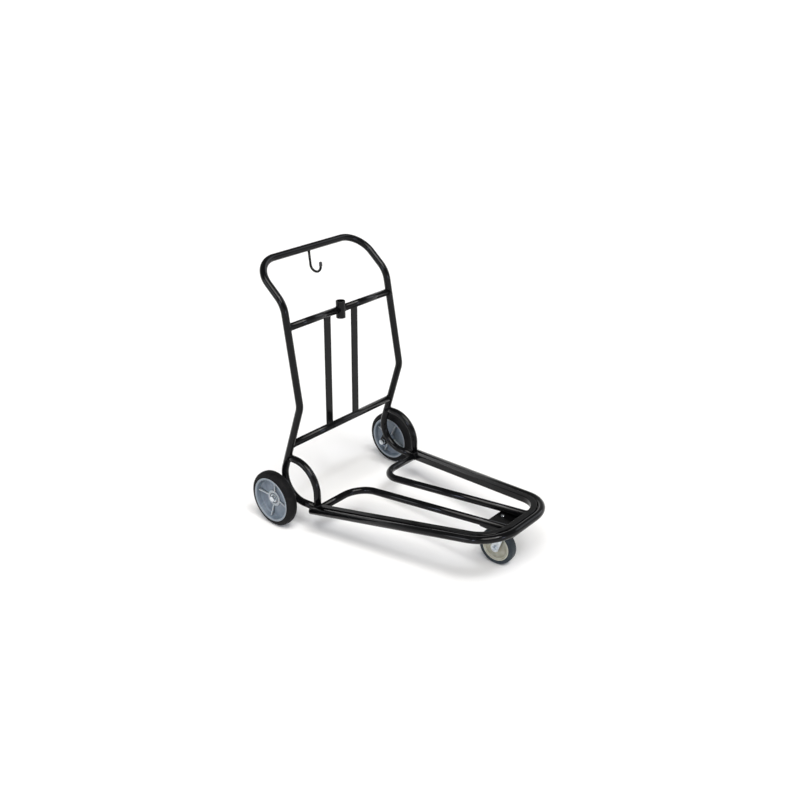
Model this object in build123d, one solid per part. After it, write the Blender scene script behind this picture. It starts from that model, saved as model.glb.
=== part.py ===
from build123d import *
import os
from math import atan2, cos, radians, sin, tan

os.makedirs("parts", exist_ok=True)

# ---------------------------------------------------------------- frame of the model
# +Z up, the deck points towards -Y, the person pushing stands at +Y.
# Left and right are the pusher's: left is +X.  All sizes are in millimetres.

# ---------------------------------------------------------------- steel sections
tube_r = 12.7
tube_wall = 1.65
weld_gap = 0.1
flat_bar_width = 30.0
flat_bar_thickness = 6.0

# ---------------------------------------------------------------- back frame
handle_half = 253.0
handle_y = 477.8
handle_z = 927.7
shoulder_half = 253.0
shoulder_y = 338.8
shoulder_z = 811.0
knee_half = 256.5
knee_y = 279.5
knee_z = 457.8
heel_half = 264.0
heel_y = 399.4
heel_z = 91.0
toe_y = 213.0
handle_bend = 90.0
shoulder_bend = 91.0
knee_bend = 63.0
heel_bend = 88.0

upper_bar_y = 325.8
upper_bar_z = 733.3
lower_bar_y = 331.0
lower_bar_z = 300.9
flat_bar_x = 67.5

socket_outer_r = 16.7
socket_inner_r = 13.6
socket_bottom = 702.0
socket_top = 763.5

hook_rod_r = 4.4
hook_bend = 24.5
hook_centre_y = 442.0
hook_centre_z = 871.0
hook_tip_z = 884.0
hook_cap_r = 5.7
hook_cap_length = 17.0

brace_x = 259.5
brace_top_y = 348.0
brace_top_z = 249.0
brace_bend = 100.0
brace_foot_y = 209.0

# ---------------------------------------------------------------- deck
deck_y = 201.0
deck_z = 96.1
deck_slope = 7.48
deck_length = 684.6
rail_half_rear = 280.8
rail_half_front = 158.5
rail_bend = 127.0
rail_overhang = 16.5
inner_rail_width = 22.0
inner_rail_height = 25.0
inner_rail_corner = 3.0
inner_rail_rear = 12.0
deck_tube_x_rear = 59.5
deck_tube_x_front = 56.0
deck_tube_bend = 80.0
plug_flange = 2.5

# ---------------------------------------------------------------- rear wheels
axle_y = 368.4
axle_z = 101.6
wheel_x = 314.4
tyre_r = 101.6
tyre_half_width = 19.2
hub_r = 80.0
rim_half_width = 21.5
rim_thickness = 6.0
web_half = 2.2
boss_r = 16.0
boss_inner = -33.0
boss_outer = 5.0
boss_face_r = 29.0
rib_count = 4
rib_thickness = 3.6
rib_turn_left = 25.0
rib_turn_right = 10.0
bushing_r = 9.0
axle_r = 6.35
running = 0.05
side_play = 0.3
axle_hex = 19.05
axle_head = 8.0
axle_nut = 10.5
washer_r = 14.0
nut_washer_r = 11.0
washer_t = 2.0
lug_x = 262.6
lug_thickness = 6.0
lug_r = 15.0
spacer_r = 11.0

# ---------------------------------------------------------------- caster
kingpin_y = -408.0
caster_trail = 33.0
swivel_turn = 4.5
caster_r = 63.5
caster_core_r = 49.0
caster_half_width = 15.9
caster_boss_half = 18.6
caster_boss_r = 12.5
fork_gap_half = 19.0
fork_thickness = 3.0
fork_eye_r = 14.5
crown_top = 139.0
plate_bottom = 149.0
plate_top = 152.0
plate_length = 104.0
plate_width = 84.0
bolt_span_x = 60.0
bolt_span_y = 80.0
plate_bolt_r = 4.0
plate_bolt_hex = 13.0
kingpin_r = 6.0
kingpin_head_r = 10.0
ball_r = 2.2
ball_circle_r = 22.0
ball_count = 18
sleeve_r = 6.35
caster_bolt_r = 4.75
caster_bolt_hex = 14.3
bracket_half = 62.0
bracket_rear = -343.0
bracket_front = -466.0
bracket_t = 3.4


# ---------------------------------------------------------------- helpers
def bent_path(points, radii):
    """A wire through the corner points, with each corner rounded to its bend radius."""
    edges = []
    start = Vector(*points[0])
    for corner, following, radius in zip(points[1:-1], points[2:], radii):
        corner = Vector(*corner)
        back = (start - corner).normalized()
        ahead = (Vector(*following) - corner).normalized()
        half = radians(back.get_angle(ahead)) / 2
        reach = radius / tan(half)
        inward = (back + ahead).normalized()
        middle = corner + inward * (radius / sin(half) - radius)
        edges.append(Edge.make_line(start, corner + back * reach))
        edges.append(Edge.make_three_point_arc(corner + back * reach, middle, corner + ahead * reach))
        start = corner + ahead * reach
    edges.append(Edge.make_line(start, Vector(*points[-1])))
    return Wire(edges)


def bar(path, radius):
    """A solid round bar along a wire."""
    section = Plane(origin=path @ 0, z_dir=path % 0) * Circle(radius)
    return sweep(section, path=path)


def tube(path, radius=tube_r, wall=tube_wall):
    """A hollow round tube along a wire."""
    return bar(path, radius) - bar(path, radius - wall)


def straight(start, end):
    """A straight wire between two points."""
    return Wire([Edge.make_line(Vector(*start), Vector(*end))])


def mirrored(points):
    """Points of the left half followed by their mirror images, back to the right end."""
    return points + [(-x, y, z) for x, y, z in reversed(points)]


def along_x(x, y, z):
    """A plane whose normal is +X, placed at a point."""
    return Plane(origin=(x, y, z), x_dir=(0, 1, 0), z_dir=(1, 0, 0))


def hexagon(across_flats):
    """A hexagon sketch of a given width across its flats."""
    return RegularPolygon(across_flats / 2, 6, major_radius=False)


def export(name, shape):
    """Write one named piece."""
    shape.label = name
    export_step(shape, f"parts/{name}.step")


# ---------------------------------------------------------------- back frame tube
handle_corner = (handle_half, handle_y, handle_z)
shoulder = (shoulder_half, shoulder_y, shoulder_z)
knee = (knee_half, knee_y, knee_z)
heel = (heel_half, heel_y, heel_z)

deck = Plane(
    origin=(0, deck_y, deck_z),
    x_dir=(1, 0, 0),
    z_dir=(0, sin(radians(deck_slope)), cos(radians(deck_slope))),
)
taper = atan2(rail_half_rear - rail_half_front, deck_length)


def on_deck(x, forward, up=0.0):
    """A point of the sloping deck plane as x, y, z."""
    point = deck.from_local_coords(Vector(x, -forward, up))
    return (point.X, point.Y, point.Z)


def rail_path(inset, rear):
    """Centre line of a deck rail, inset from the outer rail and reaching some way behind the datum."""
    front = deck_length - inset
    reach = (deck_length - inset + inset * sin(taper)) / cos(taper)
    corner_x = rail_half_rear - inset * cos(taper) - reach * sin(taper)
    rear_x = rail_half_rear - inset / cos(taper) + rear * tan(taper)
    left = [on_deck(rear_x, -rear), on_deck(corner_x, front)]
    bend = rail_bend - inset
    return bent_path(mirrored(left), [bend, bend])


outer_path = rail_path(0, rail_overhang)
inner_inset = tube_r + weld_gap + inner_rail_width / 2
inner_path = rail_path(inner_inset, inner_rail_rear)
toe = (inner_path @ 0).X, toe_y, (inner_path @ 0).Z

frame_path = bent_path(
    mirrored([(toe[0], toe_y + weld_gap, toe[2]), heel, knee, shoulder, handle_corner]),
    [heel_bend, knee_bend, shoulder_bend, handle_bend, handle_bend, shoulder_bend, knee_bend, heel_bend],
)
frame_clear = bar(frame_path, tube_r + weld_gap)

# ---------------------------------------------------------------- crossbars, socket, flat bars
socket_axis = Pos(0, upper_bar_y, socket_bottom)
socket_height = socket_top - socket_bottom
socket = socket_axis * extrude(Circle(socket_outer_r) - Circle(socket_inner_r), socket_height)
export("accessory_socket", socket)
socket_clear = socket_axis * extrude(Circle(socket_outer_r + weld_gap), socket_height)

upper_line = straight((-shoulder_half, upper_bar_y, upper_bar_z), (shoulder_half, upper_bar_y, upper_bar_z))
lower_line = straight((-knee_half, lower_bar_y, lower_bar_z), (knee_half, lower_bar_y, lower_bar_z))
upper_bar = tube(upper_line) - frame_clear - socket_clear
halves = sorted(upper_bar.solids(), key=lambda s: s.center().X)
long_halves = [s for s in halves if s.volume > 1000]
export("upper_crossbar_right", long_halves[0])
export("upper_crossbar_left", long_halves[-1])
lower_bar = tube(lower_line) - frame_clear
export("lower_crossbar", max(lower_bar.solids(), key=lambda s: s.volume))

bar_run = Vector(0, upper_bar_y - lower_bar_y, upper_bar_z - lower_bar_z)
crossbar_clear = bar(upper_line, tube_r + weld_gap) + bar(lower_line, tube_r + weld_gap)
for side, name in ((1, "left"), (-1, "right")):
    foot = Plane(origin=(side * flat_bar_x, lower_bar_y, lower_bar_z), x_dir=(1, 0, 0), z_dir=bar_run)
    flat = extrude(foot * Rectangle(flat_bar_width, flat_bar_thickness), bar_run.length)
    flat = flat - crossbar_clear
    export(f"back_bar_{name}", max(flat.solids(), key=lambda s: s.volume))

# ---------------------------------------------------------------- garment hook under the handle
hook_back = hook_centre_y + hook_bend
hook_front = hook_centre_y - hook_bend
hook_bottom = hook_centre_z - hook_bend
shank = Edge.make_line(
    Vector(0, hook_back + 8.0, handle_z), Vector(0, hook_back, hook_centre_z)
)
throat = Edge.make_three_point_arc(
    Vector(0, hook_back, hook_centre_z),
    Vector(0, hook_centre_y, hook_bottom),
    Vector(0, hook_front, hook_centre_z),
)
tip = Edge.make_line(Vector(0, hook_front, hook_centre_z), Vector(0, hook_front, hook_tip_z))
hook = bar(Wire([shank]), hook_rod_r) + bar(Wire([throat]), hook_rod_r) + bar(Wire([tip]), hook_rod_r)
hook = hook + Pos(0, hook_back, hook_centre_z) * Sphere(hook_rod_r)
hook = hook - frame_clear
export("garment_hook", max(hook.solids(), key=lambda s: s.volume))
cap_bottom = hook_tip_z - hook_cap_length + 3.0
cap_outline = Pos(0, hook_front, cap_bottom) * extrude(Circle(hook_cap_r), hook_cap_length)
cap_outline = fillet(cap_outline.edges().filter_by(GeomType.CIRCLE).sort_by(Axis.Z)[-1], hook_cap_r - 0.6)
cap_hole = Pos(0, hook_front, cap_bottom) * extrude(Circle(hook_rod_r), hook_tip_z - cap_bottom)
export("hook_tip_cap", cap_outline - cap_hole)

# ---------------------------------------------------------------- deck rails and deck tubes
outer_rail = tube(outer_path)
export("deck_rail_outer", outer_rail)
deck_up = (0, sin(radians(deck_slope)), cos(radians(deck_slope)))
rail_section = Plane(origin=inner_path @ 0, x_dir=deck_up, z_dir=inner_path % 0)
rail_solid = sweep(
    rail_section * RectangleRounded(inner_rail_height, inner_rail_width, inner_rail_corner), path=inner_path
)
rail_hollow = sweep(
    rail_section * RectangleRounded(
        inner_rail_height - 2 * tube_wall, inner_rail_width - 2 * tube_wall, inner_rail_corner - tube_wall
    ),
    path=inner_path,
)
export("deck_rail_inner", rail_solid - rail_hollow)

plug_section = Plane(origin=outer_path @ 0, z_dir=outer_path % 0)
plug = extrude(plug_section * Circle(tube_r), -plug_flange)
plug = fillet(plug.edges().filter_by(GeomType.CIRCLE).sort_by(Axis.Y)[-1], 1.2)
plug = plug + extrude(plug_section * Circle(tube_r - tube_wall), 12.0)
export("rail_end_plugs", Compound(children=[plug, mirror(plug, about=Plane.YZ)]))

inner_edge = inner_inset + inner_rail_width / 2 + weld_gap
deck_tube_front = deck_length - inner_edge
rail_keep_out = sweep(
    rail_section * RectangleRounded(
        inner_rail_height + 2 * weld_gap, inner_rail_width + 2 * weld_gap, inner_rail_corner
    ),
    path=inner_path,
)
rail_clear = bar(rail_path(0, rail_overhang + plug_flange + 0.5), tube_r + weld_gap)
frame_tube = tube(frame_path) - rail_keep_out - rail_clear
export("back_frame_tube", max(frame_tube.solids(), key=lambda s: s.volume))
deck_clear = []
for side, name in ((1, "left"), (-1, "right")):
    corners = [
        on_deck(side * (rail_half_rear - inner_inset), 0),
        on_deck(side * deck_tube_x_rear, 0),
        on_deck(side * deck_tube_x_front, deck_tube_front),
    ]
    path = bent_path(corners, [deck_tube_bend])
    loop = tube(path) - rail_keep_out - frame_clear
    export(f"deck_tube_{name}", max(loop.solids(), key=lambda s: s.volume))
    deck_clear.append(bar(path, tube_r + weld_gap))

# ---------------------------------------------------------------- braces over the wheels
for side, name in ((1, "left"), (-1, "right")):
    corners = [
        (side * brace_x, brace_top_y, brace_top_z),
        (side * brace_x, brace_foot_y, brace_top_z),
        (side * brace_x, brace_foot_y, deck_z),
    ]
    brace = tube(bent_path(corners, [brace_bend])) - frame_clear - rail_keep_out - rail_clear
    brace = brace - deck_clear[0] - deck_clear[1]
    export(f"brace_{name}", max(brace.solids(), key=lambda s: s.volume))

# ---------------------------------------------------------------- axle lugs, bolts, spacers
lug_inner = lug_x - lug_thickness / 2
lug_outer = lug_x + lug_thickness / 2
hub_inner = wheel_x + boss_inner
hub_outer = wheel_x + boss_outer
head_face = hub_outer + side_play + washer_t
nut_face = lug_inner - washer_t
shank_end = nut_face - axle_nut - 4.0


def rod_x(x0, x1, radius, y=axle_y, z=axle_z):
    """A round rod along X between two x positions."""
    low, high = sorted((x0, x1))
    return extrude(along_x(low, y, z) * Circle(radius), high - low)


def hex_x(x0, x1, across_flats, y=axle_y, z=axle_z):
    """A hexagonal block along X whose x1 end is chamfered like a bolt head."""
    low, high = sorted((x0, x1))
    block = extrude(along_x(low, y, z) * hexagon(across_flats), high - low)
    height = high - low
    dome = Solid.make_cone(across_flats / 2 + height, across_flats / 2 - 0.2, height)
    facing = Plane(origin=(x0, y, z), z_dir=(1 if x1 > x0 else -1, 0, 0))
    return block & (facing * dome)


for side, name in ((1, "left"), (-1, "right")):
    outline = make_hull((Circle(lug_r) + Pos(-26, 4) * Circle(4) + Pos(-6, 34) * Circle(4)).edges())
    lug = extrude(along_x(side * lug_x, axle_y, axle_z) * outline, lug_thickness / 2, both=True)
    lug = lug - rod_x(side * 200, side * 350, axle_r + 0.2) - frame_clear
    export(f"axle_lug_{name}", max(lug.solids(), key=lambda s: s.volume))

    washer_bore = rod_x(side * 200, side * 350, axle_r + 0.1)
    inner_washer = rod_x(side * nut_face, side * lug_inner, nut_washer_r) - washer_bore
    outer_washer = rod_x(side * (hub_outer + side_play), side * head_face, washer_r) - washer_bore
    export(f"axle_washers_{name}", Compound(children=[inner_washer, outer_washer]))
    spacer = rod_x(side * lug_outer, side * (hub_inner - side_play), spacer_r) - washer_bore
    export(f"axle_spacer_{name}", spacer)

    head = hex_x(side * head_face, side * (head_face + axle_head), axle_hex)
    export(f"axle_bolt_{name}", head + rod_x(side * shank_end, side * head_face, axle_r))
    nut = hex_x(side * nut_face, side * (nut_face - axle_nut), axle_hex)
    export(f"axle_nut_{name}", nut - rod_x(side * 200, side * 350, axle_r + 0.02))

# ---------------------------------------------------------------- rear wheels
rim_profile = Polyline(
    (boss_inner, bushing_r), (boss_outer, bushing_r), (boss_outer, boss_face_r),
    (web_half, boss_face_r + 1.0), (web_half, hub_r - rim_thickness - 6), (web_half + 3, hub_r - rim_thickness - 1),
    (rim_half_width - 1.5, hub_r - rim_thickness), (rim_half_width, hub_r - rim_thickness + 1.2),
    (rim_half_width, hub_r + 1.4), (rim_half_width - 1.3, hub_r + 1.6), (rim_half_width - 1.3, hub_r),
    (1.3 - rim_half_width, hub_r), (1.3 - rim_half_width, hub_r + 1.6), (-rim_half_width, hub_r + 1.4),
    (-rim_half_width, hub_r - rim_thickness + 1.2), (1.5 - rim_half_width, hub_r - rim_thickness),
    (-web_half - 3, hub_r - rim_thickness - 1), (-web_half, hub_r - rim_thickness - 6),
    (-web_half, boss_r + 1.5), (boss_inner, boss_r), close=True,
)
bead = tyre_half_width
tyre_outline = Line((-bead, hub_r), (bead, hub_r)) + Spline(
    (bead, hub_r), (bead + 0.2, hub_r + 8), (bead - 4, tyre_r - 5), (bead - 10, tyre_r - 1.2), (0, tyre_r),
    (10 - bead, tyre_r - 1.2), (4 - bead, tyre_r - 5), (-bead - 0.2, hub_r + 8), (-bead, hub_r),
    tangents=[(0.25, 1), (0.25, -1)],
)
rib_outline = Polyline(
    (boss_face_r - 1, -web_half), (hub_r - rim_thickness + 1, -web_half),
    (hub_r - rim_thickness + 1, 13.5), (boss_face_r - 1, boss_outer), close=True,
)
rib_inner_outline = Polyline(
    (boss_r - 1, web_half), (hub_r - rim_thickness + 1, web_half), (hub_r - rim_thickness + 1, -13.5),
    (boss_r - 1, -18.0), close=True,
)


rib_plane = Plane(origin=(0, 0, 0), x_dir=(0, 1, 0), z_dir=(0, 0, -1))


def ring_about_x(profile):
    """A ring revolved about the wheel's own axle line, laid along X."""
    return revolve(Plane.XY * make_face(profile), Axis.X)


for side, name, turn in ((1, "left", rib_turn_left), (-1, "right", rib_turn_right)):
    hub = ring_about_x(rim_profile)
    for index in range(rib_count):
        rib = extrude(rib_plane * make_face(rib_outline), rib_thickness / 2, both=True)
        inner_rib = extrude(rib_plane * make_face(rib_inner_outline), rib_thickness / 2, both=True)
        angle = side * turn + index * 360 / rib_count
        hub = hub + Rot(angle, 0, 0) * rib + Rot(angle, 0, 0) * inner_rib
    tyre = ring_about_x(tyre_outline)
    bushing = extrude(along_x(boss_inner, 0, 0) * (Circle(bushing_r) - Circle(axle_r + running)),
                      boss_outer - boss_inner)
    for piece, node in ((hub, "hub"), (tyre, "tyre"), (bushing, "wheel_bushing")):
        placed = Pos(wheel_x, axle_y, axle_z) * piece
        if side < 0:
            placed = mirror(placed, about=Plane.YZ)
        export(f"{node}_{name}", placed)

# ---------------------------------------------------------------- caster mounting bracket
bracket_depth = bracket_rear - bracket_front
bracket_y = (bracket_front + bracket_rear) / 2
base_plate = Pos(0, bracket_y, plate_top + bracket_t / 2) * Box(2 * bracket_half, bracket_depth, bracket_t)
base_plate = fillet(base_plate.edges().filter_by(Axis.Z).sort_by(Axis.Y)[-2:], 10)
wall_height = 60.0
wall_middle = plate_top + wall_height / 2
walls = Pos(0, bracket_y, wall_middle) * Box(2 * bracket_half, bracket_depth, wall_height)
walls = walls - Pos(0, bracket_y + bracket_t, wall_middle) * Box(
    2 * (bracket_half - bracket_t), bracket_depth, wall_height
)
above_deck = extrude(deck.offset(-tube_r + 4) * Rectangle(900, 2200), 200)
bracket = base_plate + (walls - above_deck) - deck_clear[0] - deck_clear[1] - rail_keep_out
bracket = max(bracket.solids(), key=lambda s: s.volume)
bolt_spots = [
    (side_x * bolt_span_x / 2, kingpin_y + side_y * bolt_span_y / 2)
    for side_x in (1, -1)
    for side_y in (1, -1)
]
for x, y in bolt_spots:
    bracket = bracket - Pos(x, y, plate_top - 1) * Cylinder(plate_bolt_r + 0.25, 12)
export("caster_mount_plate", bracket)


# ---------------------------------------------------------------- caster: fixed half
def hex_z(x, y, z0, z1, across_flats):
    """A hexagonal head or nut standing along Z, chamfered at its z1 end."""
    height = abs(z1 - z0)
    block = Pos(x, y, min(z0, z1)) * extrude(hexagon(across_flats), height)
    dome = Solid.make_cone(across_flats / 2 + height, across_flats / 2 - 0.2, height)
    facing = Plane(origin=(x, y, z0), z_dir=(0, 0, 1 if z1 > z0 else -1))
    return block & (facing * dome)


def disc(z0, z1, radius, x=0.0, y=kingpin_y):
    """An upright round piece between two heights."""
    return Pos(x, y, z0) * extrude(Circle(radius), z1 - z0)


plate_t = plate_top - plate_bottom
top_plate = Pos(0, kingpin_y, plate_bottom + plate_t / 2) * Box(plate_width, plate_length, plate_t)
top_plate = fillet(top_plate.edges().filter_by(Axis.Z), 8)
race_top = crown_top + 2 * ball_r + side_play
top_plate = top_plate + disc(race_top, plate_bottom, ball_circle_r + 7)
top_plate = fillet(top_plate.edges().filter_by(GeomType.CIRCLE).group_by(Axis.Z)[0], 2.0)
top_plate = top_plate - disc(race_top - 1, plate_top + 1, kingpin_r)
bolts = []
nuts = []
head_base = plate_top + bracket_t
nut_height = 6.5
for x, y in bolt_spots:
    top_plate = top_plate - disc(plate_bottom - 1, plate_top + 1, plate_bolt_r + 0.25, x, y)
    head = hex_z(x, y, head_base, head_base + 5.3, plate_bolt_hex)
    bolts.append(head + disc(plate_bottom - nut_height - 1.5, head_base, plate_bolt_r, x, y))
    nut = hex_z(x, y, plate_bottom, plate_bottom - nut_height, plate_bolt_hex)
    nuts.append(nut - disc(plate_bottom - 20, plate_bottom + 1, plate_bolt_r + 0.02, x, y))
export("caster_top_plate", top_plate)
export("plate_bolts", Compound(children=bolts))
export("plate_nuts", Compound(children=nuts))
crown_bottom = crown_top - fork_thickness
kingpin = disc(crown_bottom - side_play, plate_top, kingpin_r)
rivet_head = disc(crown_bottom - side_play - 3.6, crown_bottom - side_play, kingpin_head_r)
rivet_head = fillet(rivet_head.edges().filter_by(GeomType.CIRCLE).sort_by(Axis.Z)[0], 2.4)
export("caster_kingpin", kingpin + rivet_head)

# ---------------------------------------------------------------- caster: swivelling half
turned = Pos(0, kingpin_y, 0) * Rot(0, 0, swivel_turn)
outer_half = fork_gap_half + fork_thickness
leg_hull = make_hull(
    (
        Pos(caster_trail, caster_r) * Circle(fork_eye_r)
        + Pos(3, crown_top - 8) * Circle(8)
        + Pos(15, crown_top - 8) * Circle(8)
    ).edges()
)
crown_skirt = make_hull((Pos(-27, crown_top - 5) * Circle(5) + Pos(27, crown_top - 5) * Circle(5)).edges())
crown_skirt = crown_skirt + Pos(0, crown_top - 2.5) * Rectangle(64, 5)
side_view = leg_hull + crown_skirt
fork = extrude(Plane.YZ * side_view, outer_half, both=True)
fork = fillet(fork.edges().filter_by(Axis.Y).group_by(Axis.Z)[-1], 5.0)
hollow = Pos(0, 0, crown_bottom / 2) * Box(2 * fork_gap_half, 200, crown_bottom)
hollow = fillet(hollow.edges().filter_by(Axis.Y).group_by(Axis.Z)[-1], 3.0)
fork = fork - hollow
fork = fork + Pos(0, 0, crown_bottom) * extrude(Circle(ball_circle_r + 8), fork_thickness)
fork = fork - Pos(0, 0, crown_bottom - 1) * extrude(Circle(kingpin_r + running), fork_thickness + 2)
fork = fork - rod_x(-50, 50, caster_bolt_r + 0.1, caster_trail, caster_r)
export("caster_fork", turned * fork)

balls = []
for index in range(ball_count):
    angle = index * 360 / ball_count
    balls.append(turned * Rot(0, 0, angle) * Pos(ball_circle_r, 0, crown_top + ball_r) * Sphere(ball_r))
export("swivel_balls", Compound(children=balls))

sleeve = rod_x(-fork_gap_half, fork_gap_half, sleeve_r, caster_trail, caster_r)
sleeve = sleeve - rod_x(-50, 50, caster_bolt_r + 0.1, caster_trail, caster_r)
export("caster_axle_sleeve", turned * sleeve)
axle_head_end = outer_half + 5.5
axle_nut_end = -outer_half - 7.5
caster_bolt = hex_x(outer_half, axle_head_end, caster_bolt_hex, caster_trail, caster_r)
caster_bolt = caster_bolt + rod_x(axle_nut_end - 2.5, outer_half, caster_bolt_r, caster_trail, caster_r)
export("caster_axle_bolt", turned * caster_bolt)
lock_nut = hex_x(-outer_half, axle_nut_end, caster_bolt_hex, caster_trail, caster_r)
lock_nut = lock_nut - rod_x(-60, -10, caster_bolt_r + 0.02, caster_trail, caster_r)
export("caster_axle_nut", turned * lock_nut)

# ---------------------------------------------------------------- caster wheel
core_profile = Polyline(
    (-caster_boss_half, sleeve_r + running), (caster_boss_half, sleeve_r + running),
    (caster_boss_half, caster_boss_r), (9.0, caster_boss_r + 2.5), (7.5, 34.0), (12.0, 40.0),
    (caster_half_width - 0.6, 43.5), (caster_half_width - 0.6, caster_core_r),
    (0.6 - caster_half_width, caster_core_r), (0.6 - caster_half_width, 43.5), (-12.0, 40.0),
    (-7.5, 34.0), (-9.0, caster_boss_r + 2.5), (-caster_boss_half, caster_boss_r), close=True,
)
tread_side = caster_half_width
shoulder_r = caster_r - 5.0
crown_x = caster_half_width - 4.4
crown_r = caster_r - 0.8
corner_x = tread_side - 1.2
corner_r = caster_r - 2.1
tread_outline = Polyline(
    (-tread_side, shoulder_r), (-tread_side, caster_core_r),
    (tread_side, caster_core_r), (tread_side, shoulder_r),
)
tread_outline += ThreePointArc((tread_side, shoulder_r), (corner_x, corner_r), (crown_x, crown_r))
tread_outline += ThreePointArc((crown_x, crown_r), (0, caster_r), (-crown_x, crown_r))
tread_outline += ThreePointArc((-crown_x, crown_r), (-corner_x, corner_r), (-tread_side, shoulder_r))
wheel_spot = turned * Pos(0, caster_trail, caster_r)
export("caster_wheel_core", wheel_spot * ring_about_x(core_profile))
export("caster_tread", wheel_spot * ring_about_x(tread_outline))
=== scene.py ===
"""Looks of a bent-tube luggage trolley: black coated tube, moulded wheels, a zinc caster."""

import logging
import math
from dataclasses import dataclass, field
from enum import Enum
from typing import Any, Iterable, Optional, Sequence

import bmesh
import bpy
from mathutils import Matrix, Vector


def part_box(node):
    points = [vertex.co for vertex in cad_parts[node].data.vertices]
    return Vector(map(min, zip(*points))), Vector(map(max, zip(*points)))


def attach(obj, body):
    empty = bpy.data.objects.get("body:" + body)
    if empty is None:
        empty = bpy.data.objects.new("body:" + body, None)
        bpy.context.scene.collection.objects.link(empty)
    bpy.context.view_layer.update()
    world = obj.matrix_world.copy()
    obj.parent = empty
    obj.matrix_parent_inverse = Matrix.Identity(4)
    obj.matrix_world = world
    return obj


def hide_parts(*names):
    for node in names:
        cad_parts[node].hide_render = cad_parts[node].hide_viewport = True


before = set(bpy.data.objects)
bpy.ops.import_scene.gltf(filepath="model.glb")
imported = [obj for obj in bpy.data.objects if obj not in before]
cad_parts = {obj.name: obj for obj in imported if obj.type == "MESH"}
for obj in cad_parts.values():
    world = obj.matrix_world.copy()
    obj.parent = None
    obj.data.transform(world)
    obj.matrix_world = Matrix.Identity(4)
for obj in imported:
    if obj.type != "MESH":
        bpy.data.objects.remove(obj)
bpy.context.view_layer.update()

log = logging.getLogger("trolley")

MM = 0.001
TUBE_R = 12.7

# Steps round each turned or round piece: more where the rim is large.
TYRE_STEPS = 160
HUB_STEPS = 144
TREAD_STEPS = 140
CORE_STEPS = 120
SOCKET_STEPS = 72
SPACER_STEPS = 56
RAIL_SIDES = 48
PLUG_STEPS = 48
CAP_STEPS = 40
HOOK_SIDES = 28


class Side(Enum):
    """A side of the trolley as its pusher sees it; the value is the sign of X."""

    LEFT = 1
    RIGHT = -1

    @property
    def word(self) -> str:
        """The side's name as it stands at the end of a piece's name."""
        return self.name.lower()


class Body(Enum):
    """The rigid bodies of the trolley's motion model."""

    FRAME = "frame"
    WHEEL_LEFT = "wheel_left"
    WHEEL_RIGHT = "wheel_right"
    SWIVEL = "caster_swivel"
    CASTER_WHEEL = "caster_wheel"


# ------------------------------------------------------------------ finishes


def linear(code: str, alpha: float = 1.0) -> tuple[float, float, float, float]:
    """Turn an sRGB hex colour to linear light.

    Args:
        code: Six hex digits, with or without a leading hash.
        alpha: Opacity carried through unchanged.

    Returns:
        Red, green, blue and alpha for a shader socket.
    """
    digits = code.lstrip("#")
    channels = [int(digits[i : i + 2], 16) / 255 for i in (0, 2, 4)]
    light = [c / 12.92 if c <= 0.04045 else ((c + 0.055) / 1.055) ** 2.4 for c in channels]
    return (light[0], light[1], light[2], alpha)


def grey(value: float) -> tuple[float, float, float, float]:
    """A neutral linear colour of one value."""
    return (value, value, value, 1.0)


def add_node(
    tree: bpy.types.NodeTree,
    kind: str,
    settings: Optional[dict[str, Any]] = None,
    inputs: Optional[dict[Any, Any]] = None,
) -> bpy.types.Node:
    """Add one shader node with its settings, its socket values and its links.

    Args:
        tree: The node tree that takes the node.
        kind: Blender's node type name.
        settings: Attributes of the node itself.
        inputs: Input socket name or index, to a plain value or to an output socket to link from.

    Returns:
        The new node.
    """
    node = tree.nodes.new(kind)
    for name, value in (settings or {}).items():
        setattr(node, name, value)
    for name, value in (inputs or {}).items():
        if isinstance(value, bpy.types.NodeSocket):
            tree.links.new(value, node.inputs[name])
        else:
            node.inputs[name].default_value = value
    return node


def set_ramp(
    node: bpy.types.Node, stops: Sequence[tuple[float, tuple[float, float, float, float]]]
) -> None:
    """Give a colour ramp its stops.

    Args:
        node: The ColorRamp node.
        stops: Position and colour of each stop, in order.
    """
    ramp = node.color_ramp
    while len(ramp.elements) > len(stops):
        ramp.elements.remove(ramp.elements[-1])
    while len(ramp.elements) < len(stops):
        ramp.elements.new(1.0)
    for element, (position, colour) in zip(ramp.elements, stops):
        element.position = position
        element.color = colour


@dataclass(frozen=True)
class Finish:
    """What every finish shares: a name, the record's slot and the solid shader's typical values."""

    name: str
    slot: str

    def material(self) -> bpy.types.Material:
        """The finish as a Blender material, made once and then shared."""
        found = bpy.data.materials.get(self.name)
        if found:
            return found
        material = bpy.data.materials.new(self.name)
        material.use_nodes = True
        tree = material.node_tree
        tree.nodes.clear()
        shader = add_node(tree, "ShaderNodeBsdfPrincipled")
        add_node(tree, "ShaderNodeOutputMaterial", inputs={"Surface": shader.outputs["BSDF"]})
        self.build(tree, shader)
        return material

    def build(self, tree: bpy.types.NodeTree, shader: bpy.types.Node) -> None:
        """Fill in the shader of one finish; each finish has its own."""
        raise NotImplementedError

    @staticmethod
    def place(
        tree: bpy.types.NodeTree, stretch: tuple[float, float, float] = (1.0, 1.0, 1.0)
    ) -> Any:
        """Object-space position in metres, stretched for grain that runs one way."""
        spot = add_node(tree, "ShaderNodeTexCoord")
        mapping = add_node(
            tree,
            "ShaderNodeMapping",
            inputs={"Vector": spot.outputs["Object"], "Scale": Vector(stretch)},
        )
        return mapping.outputs["Vector"]


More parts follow.
